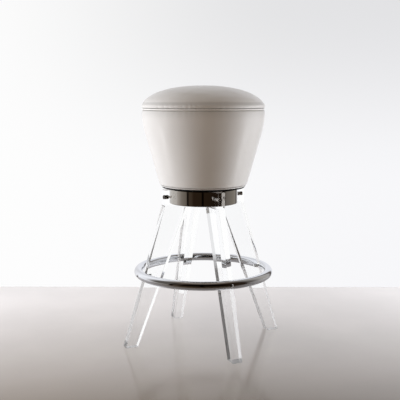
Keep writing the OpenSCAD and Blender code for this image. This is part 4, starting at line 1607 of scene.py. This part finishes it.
def sleeve_nut():
    """A knurled barrel with a hexagon socket, standing on its leg's axis."""
    floor_z = tab_out_r - SLEEVE_SOCKET_DEPTH
    rows = [
        (SCREW_R, sleeve_in_r), (SLEEVE_R - CHAMFER, sleeve_in_r), (SLEEVE_R, sleeve_in_r + CHAMFER),
        (SLEEVE_R, tab_out_r - CHAMFER), (SLEEVE_R - CHAMFER, tab_out_r),
        (SLEEVE_SOCKET_R, tab_out_r), (SLEEVE_SOCKET_R, floor_z), (SCREW_R - CHAMFER, floor_z),
        (SCREW_R - CHAMFER, sleeve_in_r + CHAMFER),
    ]
    bm = spun(rows, ((tau, SCREW_SIDES * 2),))
    hexed(bm, SLEEVE_SOCKET_R, SLEEVE_SOCKET_R, floor_z - WELD)
    for vertex in bm.verts:
        r = math.hypot(vertex.co.x, vertex.co.y)
        if abs(r - SLEEVE_R) < WELD:
            column = round(math.atan2(vertex.co.y, vertex.co.x) / tau * SCREW_SIDES * 2)
            cut = 1 - KNURL / r * (column % 2)
            vertex.co.x *= cut
            vertex.co.y *= cut
    return bm


finish("leg_sleeve_nut_set", on_each_leg(sleeve_nut, leg_bolt_z), nut_metal, "base", "dark_nickel",
       "leg_sleeve_nuts")

# %% [markdown]
# The cap screws go outward from inside the collar, and the part between the collar and the sleeve
# nut shows through the clear tab. Under each head lies a flat washer.

# %% Cap screws and washers
CAP_R = 5.0 * mm
CAP_H = 6.0 * mm
CAP_SOCKET_R = 2.5 * mm
WASHER_R = 6.25 * mm
WASHER_T = 1.6 * mm
WASHER_EDGE = 0.3 * mm
PITCH = 1.0 * mm
THREAD_DEPTH = 0.35 * mm
TIP_GAP = 1 * mm
washer_seat_r = math.sqrt(collar_in_r ** 2 - WASHER_R ** 2)
head_seat_r = washer_seat_r - WASHER_T
head_in_r = head_seat_r - CAP_H
bolt_tip_r = tab_out_r - SLEEVE_SOCKET_DEPTH - TIP_GAP


def cap_screw():
    """A socket head cap screw: the head is nearest the stool's axis."""
    pocket_z = head_in_r + CAP_H / 2
    rows = [
        (0, pocket_z), (CAP_SOCKET_R, pocket_z), (CAP_SOCKET_R, head_in_r),
        (CAP_R - CHAMFER, head_in_r), (CAP_R, head_in_r + CHAMFER), (CAP_R, head_seat_r),
        (SCREW_R, head_seat_r),
    ]
    rows += thread(SCREW_R, THREAD_DEPTH, head_seat_r + CAP_H, bolt_tip_r, PITCH)
    rows += [(0, bolt_tip_r)]
    bm = spun(rows, ((tau, SCREW_SIDES),))
    hexed(bm, CAP_SOCKET_R, CAP_SOCKET_R, 0)
    return bm


def flat_washer():
    """A stamped washer with rounded rims."""
    bm = spun(slab(bolt_hole_r, WASHER_R, head_seat_r, washer_seat_r), ((tau, SCREW_SIDES),))
    soften(bm, WASHER_EDGE, 2)
    return bm


finish("leg_cap_screws", on_each_leg(cap_screw, leg_bolt_z), zinc_flake, "base", "zinc_steel", "leg_bolts")
finish("leg_flat_washers", on_each_leg(flat_washer, leg_bolt_z), zinc, "base", "zinc_steel",
       "leg_washers")

# %% [markdown]
# ## The footrest ring
# The ring is one length of chromed tube, bent to a circle and welded. Its look is all reflection:
# light on top, the dark end of the room across the middle and the floor below. It needs many
# divisions, both round the stool and round the tube.

# %% Bend the ring
TUBE_WALL = 2.0 * mm
ring_bm = spun(circle((ring_r, ring_z), tube_r, 64), ((tau, 400),))
tube_bore = spun(circle((ring_r, ring_z), tube_r - TUBE_WALL, 24), ((tau, 128),))
bmesh.ops.reverse_faces(tube_bore, faces=tube_bore.faces)
join(ring_bm, tube_bore)
finish("chrome_footrest_ring", ring_bm, chrome, "base", "chrome", "footrest_ring", hard=False)

# %% [markdown]
# ## Footrest screws and their inserts
# One domed screw per leg goes through the tube into a steel insert in the saddle. The dome sits
# as deep as the tube's wall falls away under its rim.

# %% Domed screws and inserts
DOME_R = 5.25 * mm
DOME_H = 3.3 * mm
DOME_SOCKET_R = 2.0 * mm
DOME_STEPS = 8
INSERT_THREAD = 0.8 * mm
INSERT_PITCH = 2.5 * mm
dome_seat_r = ring_r + math.sqrt(tube_r ** 2 - DOME_R ** 2) - SEAT_CLEAR / 4
dome_ball_r = (DOME_R ** 2 + DOME_H ** 2) / (2 * DOME_H)
dome_centre = dome_seat_r + DOME_H - dome_ball_r
screw_tip_r = insert_in_r + TIP_GAP


def dome_screw():
    """A button head screw: its head is on the outside of the ring."""
    rim = math.degrees(math.asin((dome_seat_r - dome_centre) / dome_ball_r))
    mouth = math.degrees(math.acos(DOME_SOCKET_R / dome_ball_r))
    pocket_z = dome_seat_r + DOME_H / 3
    rows = [(0, screw_tip_r)]
    rows += thread(SCREW_R, THREAD_DEPTH, screw_tip_r, insert_out_r, PITCH)
    rows += [(SCREW_R, insert_out_r), (SCREW_R, dome_seat_r)]
    rows += arc((0, dome_centre), dome_ball_r, rim, mouth, DOME_STEPS)
    rows += [(DOME_SOCKET_R, pocket_z), (0, pocket_z)]
    bm = spun(rows, ((tau, SCREW_SIDES),))
    hexed(bm, DOME_SOCKET_R, DOME_SOCKET_R * math.sqrt(0.75), dome_seat_r)
    return bm


def insert():
    """A threaded insert with a coarse outer thread."""
    rows = [(SCREW_R, insert_in_r)]
    rows += thread(INSERT_R, INSERT_THREAD, insert_in_r, insert_out_r, INSERT_PITCH)
    rows += [(SCREW_R, insert_out_r)]
    return spun(rows, ((tau, SCREW_SIDES),))


finish("footrest_dome_screws", on_each_leg(dome_screw, ring_z), dome_steel, "base", "chrome",
       "footrest_screws", crease=25)
finish("footrest_insert_set", on_each_leg(insert, ring_z), zinc, "base", "zinc_steel",
       "footrest_inserts")

# %% [markdown]
# ## Pieces that keep their own shape
# The swivel, the boards, the posts and the hidden screws are right as they are, so they stay as the
# frame's own nodes and only get their finishes.

# %% Give the inner pieces their finishes
FINISHES = (
    (zinc, ("collar_plate", "swivel_lower_plate", "swivel_bolts", "swivel_washers", "pivot_pin",
            "swivel_upper_plate", "pivot_nut", "seat_bolts", "tee_nuts", "plate_screws",
            "base_screws", "deck_screws")),
    (ball_steel, ("bearing_balls",)),
    (brass, ("ball_cage",)),
    (nylon, ("pivot_washer",)),
    (plywood, ("base_board", "deck_board", "drum_wall")),
    (post_wood, ("seat_posts",)),
)
for material, nodes in FINISHES:
    for node in nodes:
        for slot in frame["nodes"][node].material_slots:
            slot.material = material
    print(material.name, "on", len(nodes))
